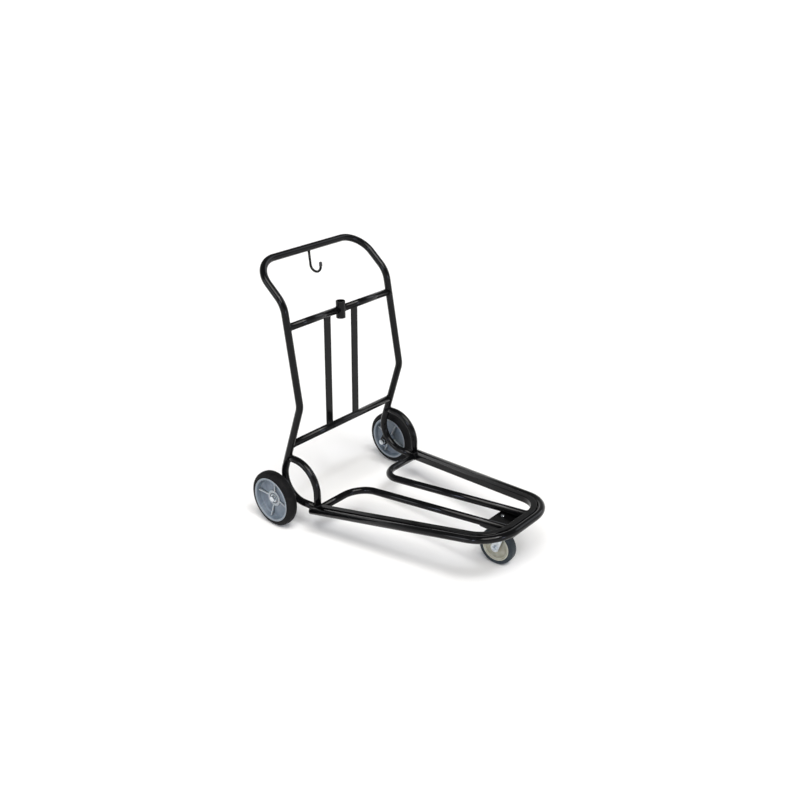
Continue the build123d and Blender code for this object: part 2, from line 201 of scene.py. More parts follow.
@dataclass(frozen=True)
class PowderCoat(Finish):
    """Gloss black polyester powder coat, sprayed dry and baked on steel tube.

    The eye gets a deep black with narrow, slightly wavy highlights (orange peel about 3 mm across),
    a few dull rub marks and a very fine dust in the upper film.
    """

    colour: str = "#09090a"
    rubbed: str = "#161618"
    peel_mm: float = 3.2
    peel_depth: float = 0.012
    roughness: float = 0.11
    gloss: float = 0.18

    def build(self, tree: bpy.types.NodeTree, shader: bpy.types.Node) -> None:
        """Black film with orange peel, rub marks and dust.

        Args:
            tree: The material's node tree.
            shader: Its Principled shader.
        """
        spot = self.place(tree)
        rub = add_node(
            tree,
            "ShaderNodeTexNoise",
            inputs={"Vector": spot, "Scale": 14.0, "Detail": 6.0, "Roughness": 0.62},
        )
        patches = add_node(tree, "ShaderNodeValToRGB", inputs={"Fac": rub.outputs["Fac"]})
        set_ramp(patches, [(0.0, grey(0.0)), (0.54, grey(0.0)), (0.78, grey(1.0))])
        dust = add_node(
            tree,
            "ShaderNodeTexNoise",
            inputs={"Vector": spot, "Scale": 900.0, "Detail": 2.0, "Roughness": 0.5},
        )
        colour = add_node(
            tree,
            "ShaderNodeMix",
            {"data_type": "RGBA"},
            {
                "Factor": patches.outputs["Color"],
                "A": linear(self.colour),
                "B": linear(self.rubbed),
            },
        )
        scratch = add_node(
            tree,
            "ShaderNodeTexNoise",
            inputs={"Vector": spot, "Scale": 55.0, "Detail": 4.0, "Distortion": 1.4},
        )
        sheen = add_node(
            tree,
            "ShaderNodeMapRange",
            inputs={
                "Value": scratch.outputs["Fac"],
                "From Min": 0.35,
                "From Max": 0.8,
                "To Min": self.roughness - 0.02,
                "To Max": self.roughness + 0.07,
            },
        )
        peel = add_node(
            tree,
            "ShaderNodeTexNoise",
            inputs={
                "Vector": spot, "Scale": 1.0 / (self.peel_mm * MM), "Detail": 1.0, "Roughness": 0.4
            },
        )
        height = add_node(
            tree,
            "ShaderNodeMath",
            {"operation": "MULTIPLY_ADD"},
            {0: dust.outputs["Fac"], 1: 0.04, 2: peel.outputs["Fac"]},
        )
        bump = add_node(
            tree,
            "ShaderNodeBump",
            inputs={
                "Height": height.outputs["Value"],
                "Strength": self.peel_depth * 4,
                "Distance": 0.0006,
            },
        )
        tree.links.new(colour.outputs["Result"], shader.inputs["Base Color"])
        tree.links.new(sheen.outputs["Result"], shader.inputs["Roughness"])
        tree.links.new(bump.outputs["Normal"], shader.inputs["Normal"])
        shader.inputs["IOR"].default_value = 1.5
        shader.inputs["Specular IOR Level"].default_value = self.gloss


@dataclass(frozen=True)
class Rubber(Finish):
    """Moulded rubber: matt, faintly mottled, scuffed where it rolls."""

    colour: str = "#0c0c0d"
    scuffed: str = "#1e1d1c"
    roughness: float = 0.6
    grain_mm: float = 0.9
    gloss: float = 0.1

    def build(self, tree: bpy.types.NodeTree, shader: bpy.types.Node) -> None:
        """Mottled rubber with scuffed patches and a fine mould grain.

        Args:
            tree: The material's node tree.
            shader: Its Principled shader.
        """
        spot = self.place(tree)
        scuff = add_node(
            tree,
            "ShaderNodeTexNoise",
            inputs={"Vector": spot, "Scale": 38.0, "Detail": 7.0, "Roughness": 0.65},
        )
        ramp = add_node(tree, "ShaderNodeValToRGB", inputs={"Fac": scuff.outputs["Fac"]})
        set_ramp(
            ramp,
            [(0.0, linear(self.colour)), (0.5, linear(self.colour)), (0.85, linear(self.scuffed))],
        )
        grain = add_node(
            tree,
            "ShaderNodeTexNoise",
            inputs={
                "Vector": spot, "Scale": 1.0 / (self.grain_mm * MM), "Detail": 3.0, "Roughness": 0.6
            },
        )
        dull = add_node(
            tree,
            "ShaderNodeMapRange",
            inputs={
                "Value": scuff.outputs["Fac"],
                "To Min": self.roughness - 0.1,
                "To Max": self.roughness + 0.14,
            },
        )
        bump = add_node(
            tree,
            "ShaderNodeBump",
            inputs={"Height": grain.outputs["Fac"], "Strength": 0.25, "Distance": 0.0003},
        )
        tree.links.new(ramp.outputs["Color"], shader.inputs["Base Color"])
        tree.links.new(dull.outputs["Result"], shader.inputs["Roughness"])
        tree.links.new(bump.outputs["Normal"], shader.inputs["Normal"])
        shader.inputs["IOR"].default_value = 1.52
        shader.inputs["Specular IOR Level"].default_value = self.gloss


@dataclass(frozen=True)
class MouldedPlastic(Finish):
    """Injection-moulded polypropylene: satin skin, soft flow marks and light handling dirt.

    Shade is painted into the corners at the feet of ribs, and a highlight is painted on the proud
    edges.
    """

    colour: str = "#6a747e"
    shade: str = "#56606b"
    # Pale colour of the painted highlight on proud edges and rims.
    edge: str = "#cdd1cf"
    roughness: float = 0.42
    flow_mm: float = 26.0
    scatter: float = 0.06
    # Painted shade: how dark ambient occlusion makes the corners at the feet of ribs, and how far
    # it looks.
    grime: float = 0.62
    grime_mm: float = 9.0
    # Painted highlight: how far pointy edges are mixed towards the edge colour.
    rubbed: float = 0.5

    def build(self, tree: bpy.types.NodeTree, shader: bpy.types.Node) -> None:
        """Satin plastic with slow flow marks, specks of dirt and a fine spark-eroded grain.

        Args:
            tree: The material's node tree.
            shader: Its Principled shader.
        """
        spot = self.place(tree)
        flow = add_node(
            tree,
            "ShaderNodeTexNoise",
            inputs={
                "Vector": spot, "Scale": 1.0 / (self.flow_mm * MM), "Detail": 4.0, "Distortion": 0.8
            },
        )
        tone = add_node(tree, "ShaderNodeValToRGB", inputs={"Fac": flow.outputs["Fac"]})
        set_ramp(tone, [(0.3, linear(self.shade)), (0.62, linear(self.colour))])
        speck = add_node(
            tree,
            "ShaderNodeTexNoise",
            inputs={"Vector": spot, "Scale": 420.0, "Detail": 3.0, "Roughness": 0.7},
        )
        dirt = add_node(tree, "ShaderNodeValToRGB", inputs={"Fac": speck.outputs["Fac"]})
        set_ramp(dirt, [(0.0, grey(1.0)), (0.64, grey(1.0)), (0.8, grey(0.72))])
        colour = add_node(
            tree,
            "ShaderNodeMix",
            {"data_type": "RGBA", "blend_type": "MULTIPLY"},
            {"Factor": 1.0, "A": tone.outputs["Color"], "B": dirt.outputs["Color"]},
        )
        # Painted highlight: pointy rims and rib crests are lightened towards the pale edge colour.
        form = add_node(tree, "ShaderNodeNewGeometry")
        painted_highlight_mask = add_node(
            tree,
            "ShaderNodeMapRange",
            inputs={
                "Value": form.outputs["Pointiness"],
                "From Min": 0.503,
                "From Max": 0.53,
                "To Min": 0.0,
                "To Max": self.rubbed,
            },
        )
        with_painted_highlight = add_node(
            tree,
            "ShaderNodeMix",
            {"data_type": "RGBA"},
            {
                "Factor": painted_highlight_mask.outputs["Result"],
                "A": colour.outputs["Result"],
                "B": linear(self.edge),
            },
        )
        # Painted shade: where ambient occlusion finds nearby surfaces, the colour is darkened
        # towards #23272b.
        open_sky = add_node(
            tree, "ShaderNodeAmbientOcclusion", {"samples": 8}, {"Distance": self.grime_mm * MM}
        )
        painted_shade_mask = add_node(
            tree,
            "ShaderNodeMapRange",
            inputs={
                "Value": open_sky.outputs["AO"],
                "From Min": 0.25,
                "From Max": 0.85,
                "To Min": self.grime,
                "To Max": 0.0,
            },
        )
        colour = add_node(
            tree,
            "ShaderNodeMix",
            {"data_type": "RGBA"},
            {
                "Factor": painted_shade_mask.outputs["Result"],
                "A": with_painted_highlight.outputs["Result"],
                "B": linear("#23272b"),
            },
        )
        satin = add_node(
            tree,
            "ShaderNodeMapRange",
            inputs={
                "Value": flow.outputs["Fac"],
                "To Min": self.roughness - 0.06,
                "To Max": self.roughness + 0.1,
            },
        )
        bump = add_node(
            tree,
            "ShaderNodeBump",
            inputs={"Height": speck.outputs["Fac"], "Strength": 0.12, "Distance": 0.0002},
        )
        tree.links.new(colour.outputs["Result"], shader.inputs["Base Color"])
        tree.links.new(satin.outputs["Result"], shader.inputs["Roughness"])
        tree.links.new(bump.outputs["Normal"], shader.inputs["Normal"])
        shader.inputs["IOR"].default_value = 1.49
        shader.inputs["Subsurface Weight"].default_value = self.scatter
        shader.inputs["Subsurface Scale"].default_value = 0.003


@dataclass(frozen=True)
class ZincPlate(Finish):
    """Bright zinc electroplate on pressed or turned steel, with the blue tint of a clear passivate.

    The eye gets a bright, slightly cloudy metal with fine draw lines and grey bloom in patches.
    """

    colour: str = "#dfe4e8"
    bloom: str = "#b4bcc3"
    roughness: float = 0.22

    def build(self, tree: bpy.types.NodeTree, shader: bpy.types.Node) -> None:
        """Cloudy bright metal with fine draw lines.

        Args:
            tree: The material's node tree.
            shader: Its Principled shader.
        """
        spot = self.place(tree)
        cloud = add_node(
            tree,
            "ShaderNodeTexNoise",
            inputs={"Vector": spot, "Scale": 90.0, "Detail": 6.0, "Roughness": 0.6},
        )
        ramp = add_node(tree, "ShaderNodeValToRGB", inputs={"Fac": cloud.outputs["Fac"]})
        set_ramp(ramp, [(0.32, linear(self.bloom)), (0.6, linear(self.colour))])
        lines = add_node(
            tree,
            "ShaderNodeTexNoise",
            inputs={"Vector": self.place(tree, (1.0, 1.0, 0.06)), "Scale": 1600.0, "Detail": 2.0},
        )
        dull = add_node(
            tree,
            "ShaderNodeMapRange",
            inputs={
                "Value": cloud.outputs["Fac"],
                "To Min": self.roughness + 0.12,
                "To Max": self.roughness - 0.08,
            },
        )
        bump = add_node(
            tree,
            "ShaderNodeBump",
            inputs={"Height": lines.outputs["Fac"], "Strength": 0.1, "Distance": 0.0001},
        )
        tree.links.new(ramp.outputs["Color"], shader.inputs["Base Color"])
        tree.links.new(dull.outputs["Result"], shader.inputs["Roughness"])
        tree.links.new(bump.outputs["Normal"], shader.inputs["Normal"])
        shader.inputs["Metallic"].default_value = 1.0


@dataclass(frozen=True)
class StudioPaint(Finish):
    """Rolled white studio floor paint, with a faint roller texture."""

    colour: str = "#f1f1f0"
    roughness: float = 0.6

    def build(self, tree: bpy.types.NodeTree, shader: bpy.types.Node) -> None:
        """Even white paint with a slight stipple.

        Args:
            tree: The material's node tree.
            shader: Its Principled shader.
        """
        spot = self.place(tree)
        stipple = add_node(
            tree, "ShaderNodeTexNoise", inputs={"Vector": spot, "Scale": 260.0, "Detail": 2.0}
        )
        bump = add_node(
            tree,
            "ShaderNodeBump",
            inputs={"Height": stipple.outputs["Fac"], "Strength": 0.05, "Distance": 0.0004},
        )
        tree.links.new(bump.outputs["Normal"], shader.inputs["Normal"])
        shader.inputs["Base Color"].default_value = linear(self.colour)
        shader.inputs["Roughness"].default_value = self.roughness


# Sprayed and baked on all the steel tube and bar: deep gloss black with narrow highlights.
BLACK_COAT = PowderCoat("Black_powder_coat", "black_powder_coat")
# The same coat over the ripples of a hand-laid weld, a little thinner and duller on each ridge.
WELD_COAT = PowderCoat(
    "Coated_weld_bead", "black_powder_coat", roughness=0.22, peel_mm=1.4, peel_depth=0.03
)
# Solid black rubber moulded round the hub: matt, with paler scuffs.
TYRE_RUBBER = Rubber("Tyre_rubber", "black_rubber")
# Softer blue-grey rubber bonded to the caster's core: matt, and paler where it has rolled.
TREAD_RUBBER = Rubber(
    "Slate_tread_rubber",
    "slate_rubber",
    colour="#2c3236",
    scuffed="#434a4f",
    roughness=0.5,
    grain_mm=0.7,
)
# Moulded hub: satin blue-grey, with painted highlights on its edges and painted shade round the
# ribs.
HUB_PLASTIC = MouldedPlastic("Grey_polypropylene", "grey_plastic")
# Moulded caster core: dull olive-beige, with a painted highlight on the lip next to the tread.
CORE_PLASTIC = MouldedPlastic(
    "Beige_polypropylene",
    "beige_plastic",
    colour="#9a988a",
    shade="#858370",
    edge="#e2e0d2",
    flow_mm=18.0,
    rubbed=0.55,
)
# Moulded end plugs: dull black, a shade lighter than the coated tube.
PLUG_PLASTIC = MouldedPlastic(
    "Black_polyethylene",
    "black_plastic",
    colour="#141416",
    shade="#0f0f10",
    edge="#2a2a2c",
    roughness=0.5,
    scatter=0.0,
)
# Electroplated steel of the caster and the fasteners: bright, cloudy and slightly blue.
ZINC = ZincPlate("Zinc_plated_steel", "zinc_steel")
# Vinyl that the hook's tip was dipped in: soft satin black.
DIPPED_VINYL = MouldedPlastic(
    "Dipped_black_vinyl",
    "black_plastic",
    colour="#18181a",
    shade="#111112",
    edge="#2a2a2c",
    roughness=0.38,
    scatter=0.0,
)
# The studio's floor: flat white with a roller's stipple.
PAINTED_FLOOR = StudioPaint("White_studio_paint", "stage")


# ------------------------------------------------------------------ meshes


def mm(x: float, y: float, z: float) -> Vector:
    """A point or a direction given in millimetres, as metres."""
    return Vector((x, y, z)) * MM


@dataclass
class Route:
    """A tube's centre line: straight runs joined by true circular bends."""

    corners: Sequence[Vector]
    radii: Sequence[float]
    step: float = math.radians(3.0)

    def points(self) -> list[Vector]:
        """The centre line as closely spaced points.

        Returns:
            Points in metres, from the first corner to the last.
        """
        line = [self.corners[0].copy()]
        for before, corner, after, radius in zip(
            self.corners, self.corners[1:], self.corners[2:], self.radii
        ):
            back = (before - corner).normalized()
            ahead = (after - corner).normalized()
            half = back.angle(ahead) / 2
            centre = corner + (back + ahead).normalized() * (radius / math.sin(half))
            start = corner + back * (radius / math.tan(half)) - centre
            end = corner + ahead * (radius / math.tan(half)) - centre
            turn = math.pi - 2 * half
            count = max(2, math.ceil(turn / self.step))
            for index in range(count + 1):
                spin = Matrix.Rotation(turn * index / count, 3, start.cross(end).normalized())
                line.append(centre + spin @ start)
        line.append(self.corners[-1].copy())
        return line


def circle_outline(radius: float, sides: int = 40) -> list[tuple[float, float]]:
    """A round section.

    Args:
        radius: Radius in metres.
        sides: How many flats stand for the circle.

    Returns:
        Section points, anticlockwise.
    """
    turns = [2 * math.pi * i / sides for i in range(sides)]
    return [(radius * math.cos(t), radius * math.sin(t)) for t in turns]


def rounded_outline(
    width: float, height: float, corner: float, steps: int = 6
) -> list[tuple[float, float]]:
    """A rectangular section with rolled corners.

    Args:
        width: Size across, in metres.
        height: Size up, in metres.
        corner: Corner radius.
        steps: Segments in each corner.

    Returns:
        Section points, anticlockwise.
    """
    outline = []
    for quarter, (sx, sy) in enumerate(((1, 1), (-1, 1), (-1, -1), (1, -1))):
        cx, cy = sx * (width / 2 - corner), sy * (height / 2 - corner)
        for index in range(steps + 1):
            angle = math.pi / 2 * (quarter + index / steps)
            outline.append((cx + corner * math.cos(angle), cy + corner * math.sin(angle)))
    return outline


def frames_along(points: Sequence[Vector], up: Vector) -> list[tuple[Vector, Vector, Vector]]:
    """Carry a section's axes along a line without twist.

    Args:
        points: The line.
        up: Which way the section's upper side faces at the start.

    Returns:
        Point, side and up at each point of the line.
    """
    result = []
    previous = None
    for index, point in enumerate(points):
        behind = points[max(index - 1, 0)]
        before = points[min(index + 1, len(points) - 1)]
        tangent = (before - behind).normalized()
        if previous is None:
            upward = (up - tangent * up.dot(tangent)).normalized()
        else:
            upward = previous.rotation_difference(tangent) @ result[-1][2]
            upward = (upward - tangent * upward.dot(tangent)).normalized()
        result.append((point, tangent.cross(upward).normalized(), upward))
        previous = tangent
    return result


def loft(
    rings: Sequence[Sequence[Vector]], wrap: bool = False, caps: bool = True
) -> bmesh.types.BMesh:
    """Skin a row of rings that have the same number of points.

    Args:
        rings: The rings in order.
        wrap: Whether the last ring joins the first.
        caps: Whether an open row gets end faces.

    Returns:
        The skinned mesh.
    """
    mesh = bmesh.new()
    rows = [[mesh.verts.new(point) for point in ring] for ring in rings]
    sides = len(rows[0])
    pairs = list(zip(rows, rows[1:])) + ([(rows[-1], rows[0])] if wrap else [])
    for low, high in pairs:
        for i in range(sides):
            j = (i + 1) % sides
            mesh.faces.new((low[i], low[j], high[j], high[i]))
    if caps and not wrap:
        mesh.faces.new(reversed(rows[0]))
        mesh.faces.new(rows[-1])
    bmesh.ops.recalc_face_normals(mesh, faces=mesh.faces)
    return mesh


def lathe(profile: Sequence[tuple[float, float]], segments: int = 128) -> bmesh.types.BMesh:
    """Turn a closed outline about the X axis.

    Args:
        profile: Distance along X and radius of each outline point, in millimetres.
        segments: How many steps round.

    Returns:
        A ring-shaped mesh about the origin.
    """
    rings = []
    for index in range(segments):
        turn = 2 * math.pi * index / segments
        rings.append([mm(x, r * math.cos(turn), r * math.sin(turn)) for x, r in profile])
    return loft(rings, wrap=True)


def soften(
    profile: Sequence[tuple[float, float]], radius: float, steps: int = 4
) -> list[tuple[float, float]]:
    """Round every corner of a closed outline with the small radius that a mould or a die leaves.

    Args:
        profile: The sharp outline.
        radius: Largest corner radius, in the outline's own unit.
        steps: Segments in each rounded corner.

    Returns:
        The outline with rounded corners.
    """
    rounded = []
    count = len(profile)
    for index in range(count):
        corner = Vector(profile[index])
        before, after = Vector(profile[index - 1]), Vector(profile[(index + 1) % count])
        back, ahead = before - corner, after - corner
        reach = min(radius, back.length * 0.45, ahead.length * 0.45)
        start, end = corner + back.normalized() * reach, corner + ahead.normalized() * reach
        for step in range(steps + 1):
            t = step / steps
            spot = start * (1 - t) ** 2 + corner * 2 * t * (1 - t) + end * t**2
            rounded.append((spot.x, spot.y))
    return rounded


def merged(parts: Iterable[bmesh.types.BMesh]) -> bmesh.types.BMesh:
    """Put several meshes into one.

    Args:
        parts: Meshes, which are freed.

    Returns:
        One mesh that holds them all.
    """
    whole = bmesh.new()
    for part in parts:
        holder = bpy.data.meshes.new("holder")
        part.to_mesh(holder)
        part.free()
        whole.from_mesh(holder)
        bpy.data.meshes.remove(holder)
    return whole


@dataclass
class Piece:
    """A finished mesh that is ready to take its place on a body."""

    name: str
    mesh: bmesh.types.BMesh
    finish: Finish
    body: Body
    stands_for: Sequence[str] = ()
    flat_weight: bool = False
    bevel: float = 0.0

    def place(self) -> bpy.types.Object:
        """Make the object, dress it and let it ride on its body.

        Returns:
            The placed object.
        """
        data = bpy.data.meshes.new(self.name)
        self.mesh.to_mesh(data)
        self.mesh.free()
        data.polygons.foreach_set("use_smooth", [True] * len(data.polygons))
        data.materials.append(self.finish.material())
        thing = bpy.data.objects.new(self.name, data)
        bpy.context.scene.collection.objects.link(thing)
        if self.bevel:
            edge = thing.modifiers.new("Broken_edges", "BEVEL")
            edge.width = self.bevel * MM
            edge.segments = 3
            edge.limit_method = "ANGLE"
            edge.angle_limit = math.radians(32)
            edge.use_clamp_overlap = True
        if self.flat_weight or self.bevel:
            weight = thing.modifiers.new("Even_flats", "WEIGHTED_NORMAL")
            weight.keep_sharp = True
        if self.stands_for:
            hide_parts(*self.stands_for)
        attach(thing, self.body.value)
        log.info("%s: %d faces on %s", self.name, len(data.polygons), self.body.value)
        return thing


def strike(
    start: Vector, heading: Vector, point: Vector, axis: Vector, radius: float
) -> Vector:
    """Where a line running along a heading first meets a round tube.

    Args:
        start: A point of the line, ahead of the tube.
        heading: Unit direction towards the tube.
        point: A point on the tube's centre line.
        axis: Unit direction of the tube.
        radius: The tube's radius.

    Returns:
        The point on the tube's surface, or the nearest pass where the line misses it.
    """
    across = heading - axis * heading.dot(axis)
    offset = (start - point) - axis * (start - point).dot(axis)
    a, b, c = across.length_squared, 2 * across.dot(offset), offset.length_squared - radius**2
    spread = max(b * b - 4 * a * c, 0.0)
    return start + heading * ((-b - math.sqrt(spread)) / (2 * a))


@dataclass(frozen=True)
class WeldBead:
    """A hand-laid fillet weld: one ripple for each puddle, sunk a little into both pieces."""

    radius: float = 1.7
    ripple: float = 1.9
    depth: float = 0.12
    step: float = 0.55
    facets: int = 10
    lean: tuple[float, float, float] = (0.31, 0.22, 0.92)

    def lay(self, joint: Sequence[Vector], closed: bool = True) -> bmesh.types.BMesh:
        """Lay the bead along a joint.

        Args:
            joint: Points of the joint line, in metres.
            closed: Whether the line runs back to its start.

        Returns:
            The rippled bead.
        """
        line = list(joint) + ([joint[0]] if closed else [])
        spots = self._walk(line, self.step * MM)
        if closed:
            spots = spots[:-1]
        count = len(spots)
        rings = []
        for index, spot in enumerate(spots):
            ahead = spots[(index + 1) % count] if closed else spots[min(index + 1, count - 1)]
            behind = spots[index - 1] if closed or index else spots[0]
            tangent = (ahead - behind).normalized()
            side = tangent.cross(Vector(self.lean)).normalized()
            upward = side.cross(tangent)
            travel = index * self.step / self.ripple
            swell = 1 + self.depth * (1 - 2 * abs(travel % 1.0 - 0.5)) + 0.05 * math.sin(
                travel * 1.7
            )
            taper = 1.0 if closed else min(1.0, 0.45 + min(index, count - 1 - index) * 0.2)
            size = self.radius * MM * swell * taper
            rings.append(
                [spot + side * a + upward * b for a, b in circle_outline(size, self.facets)]
            )
        return loft(rings, wrap=closed)

    def run(self, name: str, joints: Iterable[Sequence[Vector]], closed: bool = True) -> None:
        """Lay a bead along each joint and place them on the frame as one piece.

        Args:
            name: The piece's name.
            joints: The joint lines.
            closed: Whether each line runs back to its start.
        """
        beads = merged([self.lay(joint, closed) for joint in joints])
        Piece(name, beads, WELD_COAT, Body.FRAME).place()

    @staticmethod
    def _walk(line: Sequence[Vector], step: float) -> list[Vector]:
        """Even steps along a line.

        Args:
            line: Corner points.
            step: Distance between two results.

        Returns:
            Points a step apart.
        """
        spots = [line[0].copy()]
        spare = 0.0
        for a, b in zip(line, line[1:]):
            run = (b - a).length
            reach = step - spare
            while reach <= run:
                spots.append(a.lerp(b, reach / run))
                reach += step
            spare = run - (reach - step)
        return spots


def machined(node: str, finish: Finish, body: Body, bevel: float = 0.35) -> Piece:
    """A close copy of a frame piece with its sharp edges broken.

    Args:
        node: The frame piece that it stands for.
        finish: What it is finished in.
        body: The body it rides on.
        bevel: Edge break in millimetres.

    Returns:
        The piece, not yet placed.
    """
    mesh = bmesh.new()
    mesh.from_mesh(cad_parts[node].data)
    mesh.transform(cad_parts[node].matrix_world)
    bmesh.ops.remove_doubles(mesh, verts=mesh.verts, dist=2e-6)
    bmesh.ops.dissolve_limit(
        mesh, angle_limit=math.radians(0.4), verts=mesh.verts, edges=mesh.edges, delimit={"NORMAL"}
    )
    return Piece(f"{node}_finished", mesh, finish, body, (node,), bevel=bevel)


def dress_node(node: str, finish: Finish) -> None:
    """Give a carried-over frame piece its finish.

    Args:
        node: The frame piece.
        finish: What it is finished in.
    """
    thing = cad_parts[node]
    thing.data.materials.clear()
    thing.data.materials.append(finish.material())
    log.info("%s carried over in %s", node, finish.name)


# ------------------------------------------------------------------ cuts, swept members and joints


@dataclass(frozen=True)
class RoundCut:
    """The round tube that a member's end is saddle-cut to fit."""

    point: Vector
    axis: Vector
    radius: float

    def meet(self, start: Vector, heading: Vector) -> Vector:
        """Where a fibre of the member first meets the tube."""
        return strike(start, heading, self.point, self.axis, self.radius)


@dataclass(frozen=True)
class FlatCut:
    """The flat face that a member's end is cut to fit."""

    point: Vector
    normal: Vector

    def meet(self, start: Vector, heading: Vector) -> Vector:
        """Where a fibre of the member meets the face."""
        return start + heading * ((self.point - start).dot(self.normal) / heading.dot(self.normal))


Cut = RoundCut | FlatCut


@dataclass
class Member:
    """A section run along a line, with each end cut to what it meets."""

    line: Sequence[Vector]
    outline: Sequence[tuple[float, float]]
    up: Vector
    at_start: Optional[Cut] = None
    at_end: Optional[Cut] = None
    rings: list[list[Vector]] = field(init=False)

    def __post_init__(self) -> None:
        """Lay out the rings and cut the ends."""
        walk = frames_along(self.line, self.up)
        self.rings = [
            [p + side * a + upward * b for a, b in self.outline] for p, side, upward in walk
        ]
        first, last = self.rings[1], self.rings[-2]
        if self.at_start:
            heading = (self.line[0] - self.line[1]).normalized()
            self.rings[0] = [self.at_start.meet(spot, heading) for spot in first]
        if self.at_end:
            heading = (self.line[-1] - self.line[-2]).normalized()
            self.rings[-1] = [self.at_end.meet(spot, heading) for spot in last]

    def skin(self) -> bmesh.types.BMesh:
        """The member's closed skin."""
        return loft(self.rings)

    def joints(self) -> list[list[Vector]]:
        """The lines round the two ends, where they are welded."""
        return [self.rings[0], self.rings[-1]]

    def place(self, name: str, flat: bool = False) -> None:
        """Place the member on the frame in black powder coat.

        Args:
            name: The piece's name, which is its frame piece's name with a capital.
            flat: Whether its shading keeps broad faces flat.
        """
        node = name[0].lower() + name[1:]
        Piece(name, self.skin(), BLACK_COAT, Body.FRAME, (node,), flat_weight=flat).place()


def stood(
    mesh: bmesh.types.BMesh, origin: Vector, axis: Vector, turn: float = 0.0
) -> bmesh.types.BMesh:
    """Move a mesh that was made about the X axis so that it stands on another axis.

    Args:
        mesh: The mesh, with its own axis along +X.
        origin: Where its origin goes.
        axis: Where its +X goes.
        turn: Degrees about its own axis, before it is stood up.

    Returns:
        The same mesh, moved.
    """
    facing = axis.to_track_quat("X", "Z").to_matrix().to_4x4()
    mesh.transform(
        Matrix.Translation(origin) @ facing @ Matrix.Rotation(math.radians(turn), 4, "X")
    )
    return mesh


def mirrored_x(mesh: bmesh.types.BMesh) -> bmesh.types.BMesh:
    """The mirror image of a mesh across the trolley's middle plane."""
    mesh.transform(Matrix.Scale(-1, 4, Vector((1, 0, 0))))
    bmesh.ops.reverse_faces(mesh, faces=mesh.faces)
    return mesh


# ------------------------------------------------------------------ the trolley's own geometry


@dataclass(frozen=True)
class BackLine:
    """Corners of the bent back tube, in millimetres, on the pusher's left."""

    toe_y: float = 213.1
    heel: tuple[float, float, float] = (264.0, 399.4, 91.0)
    knee: tuple[float, float, float] = (256.5, 279.5, 457.8)
    shoulder: tuple[float, float, float] = (253.0, 338.8, 811.0)
    handle: tuple[float, float, float] = (253.0, 477.8, 927.7)
    heel_bend: float = 88.0
    knee_bend: float = 63.0
    shoulder_bend: float = 91.0
    handle_bend: float = 90.0

    def leg(self, side: Side) -> RoundCut:
        """The straight run from knee to heel, as something to fit against."""
        return self._run(self.knee, self.heel, side)

    def upright(self, side: Side) -> RoundCut:
        """The straight run from shoulder to knee, as something to fit against."""
        return self._run(self.shoulder, self.knee, side)

    @staticmethod
    def _run(
        top: tuple[float, float, float], bottom: tuple[float, float, float], side: Side
    ) -> RoundCut:
        """A straight run of the tube between two corners."""
        high = mm(top[0] * side.value, top[1], top[2])
        low = mm(bottom[0] * side.value, bottom[1], bottom[2])
        return RoundCut(high, (low - high).normalized(), TUBE_R * MM)


@dataclass(frozen=True)
class DeckPlane:
    """The sloping plane through the middle of the deck's tubes, in millimetres."""

    y: float = 201.0
    z: float = 96.1
    slope: float = 7.48
    length: float = 684.6
    half_rear: float = 280.8
    half_front: float = 158.5
    bend: float = 127.0

    @property
    def normal(self) -> Vector:
        """The deck's upward direction."""
        return Vector((0, math.sin(math.radians(self.slope)), math.cos(math.radians(self.slope))))

    @property
    def forward(self) -> Vector:
        """The deck's forward direction."""
        return Vector((0, -math.cos(math.radians(self.slope)), math.sin(math.radians(self.slope))))

    @property
    def taper(self) -> float:
        """How far each side rail turns in towards the front, in radians."""
        return math.atan2(self.half_rear - self.half_front, self.length)

    def at(self, x: float, ahead: float, up: float = 0.0) -> Vector:
        """A point of the deck, in metres, from distances in millimetres."""
        return mm(x, self.y, self.z) + self.forward * (ahead * MM) + self.normal * (up * MM)

    def rail(self, inset: float, behind: float) -> Route:
        """The centre line of a rail that runs inside the outer one.

        Args:
            inset: How far inside the outer rail's centre line it runs.
            behind: How far behind the datum its ends stand.

        Returns:
            The rail's route, from its left end to its right end.
        """
        reach = (self.length - inset + inset * math.sin(self.taper)) / math.cos(self.taper)
        corner = self.half_rear - inset * math.cos(self.taper) - reach * math.sin(self.taper)
        rear = self.half_rear - inset / math.cos(self.taper) + behind * math.tan(self.taper)
        front = self.length - inset
        corners = [
            self.at(rear, -behind),
            self.at(corner, front),
            self.at(-corner, front),
            self.at(-rear, -behind),
        ]
        return Route(corners, [(self.bend - inset) * MM] * 2)


BACK = BackLine()
DECK = DeckPlane()
TUBE_BEAD = WeldBead(1.6)
BAR_BEAD = WeldBead(1.3, 1.6)


# ------------------------------------------------------------------ sub-assemblies


@dataclass
class BackFrame:
    """The one long tube that is bent into toes, heels, uprights and handle."""

    toe_x: float = 258.77
    toe_z: float = 94.54
    sides: int = 48

    def route(self) -> Route:
        """The tube's centre line from the left toe to the right toe."""
        half = [
            (self.toe_x, BACK.toe_y, self.toe_z), BACK.heel, BACK.knee, BACK.shoulder, BACK.handle
        ]
        corners = [mm(*spot) for spot in half] + [mm(-x, y, z) for x, y, z in reversed(half)]
        bends = [BACK.heel_bend, BACK.knee_bend, BACK.shoulder_bend, BACK.handle_bend]
        return Route(corners, [bend * MM for bend in bends + bends[::-1]], math.radians(2.5))

    def build(self) -> None:
        """Bend the tube and weld its toes to the deck."""
        tube = Member(
            self.route().points(), circle_outline(TUBE_R * MM, self.sides), Vector((0, 0, 1))
        )
        tube.place("Back_frame_tube")
        WeldBead().run("Toe_welds", tube.joints())


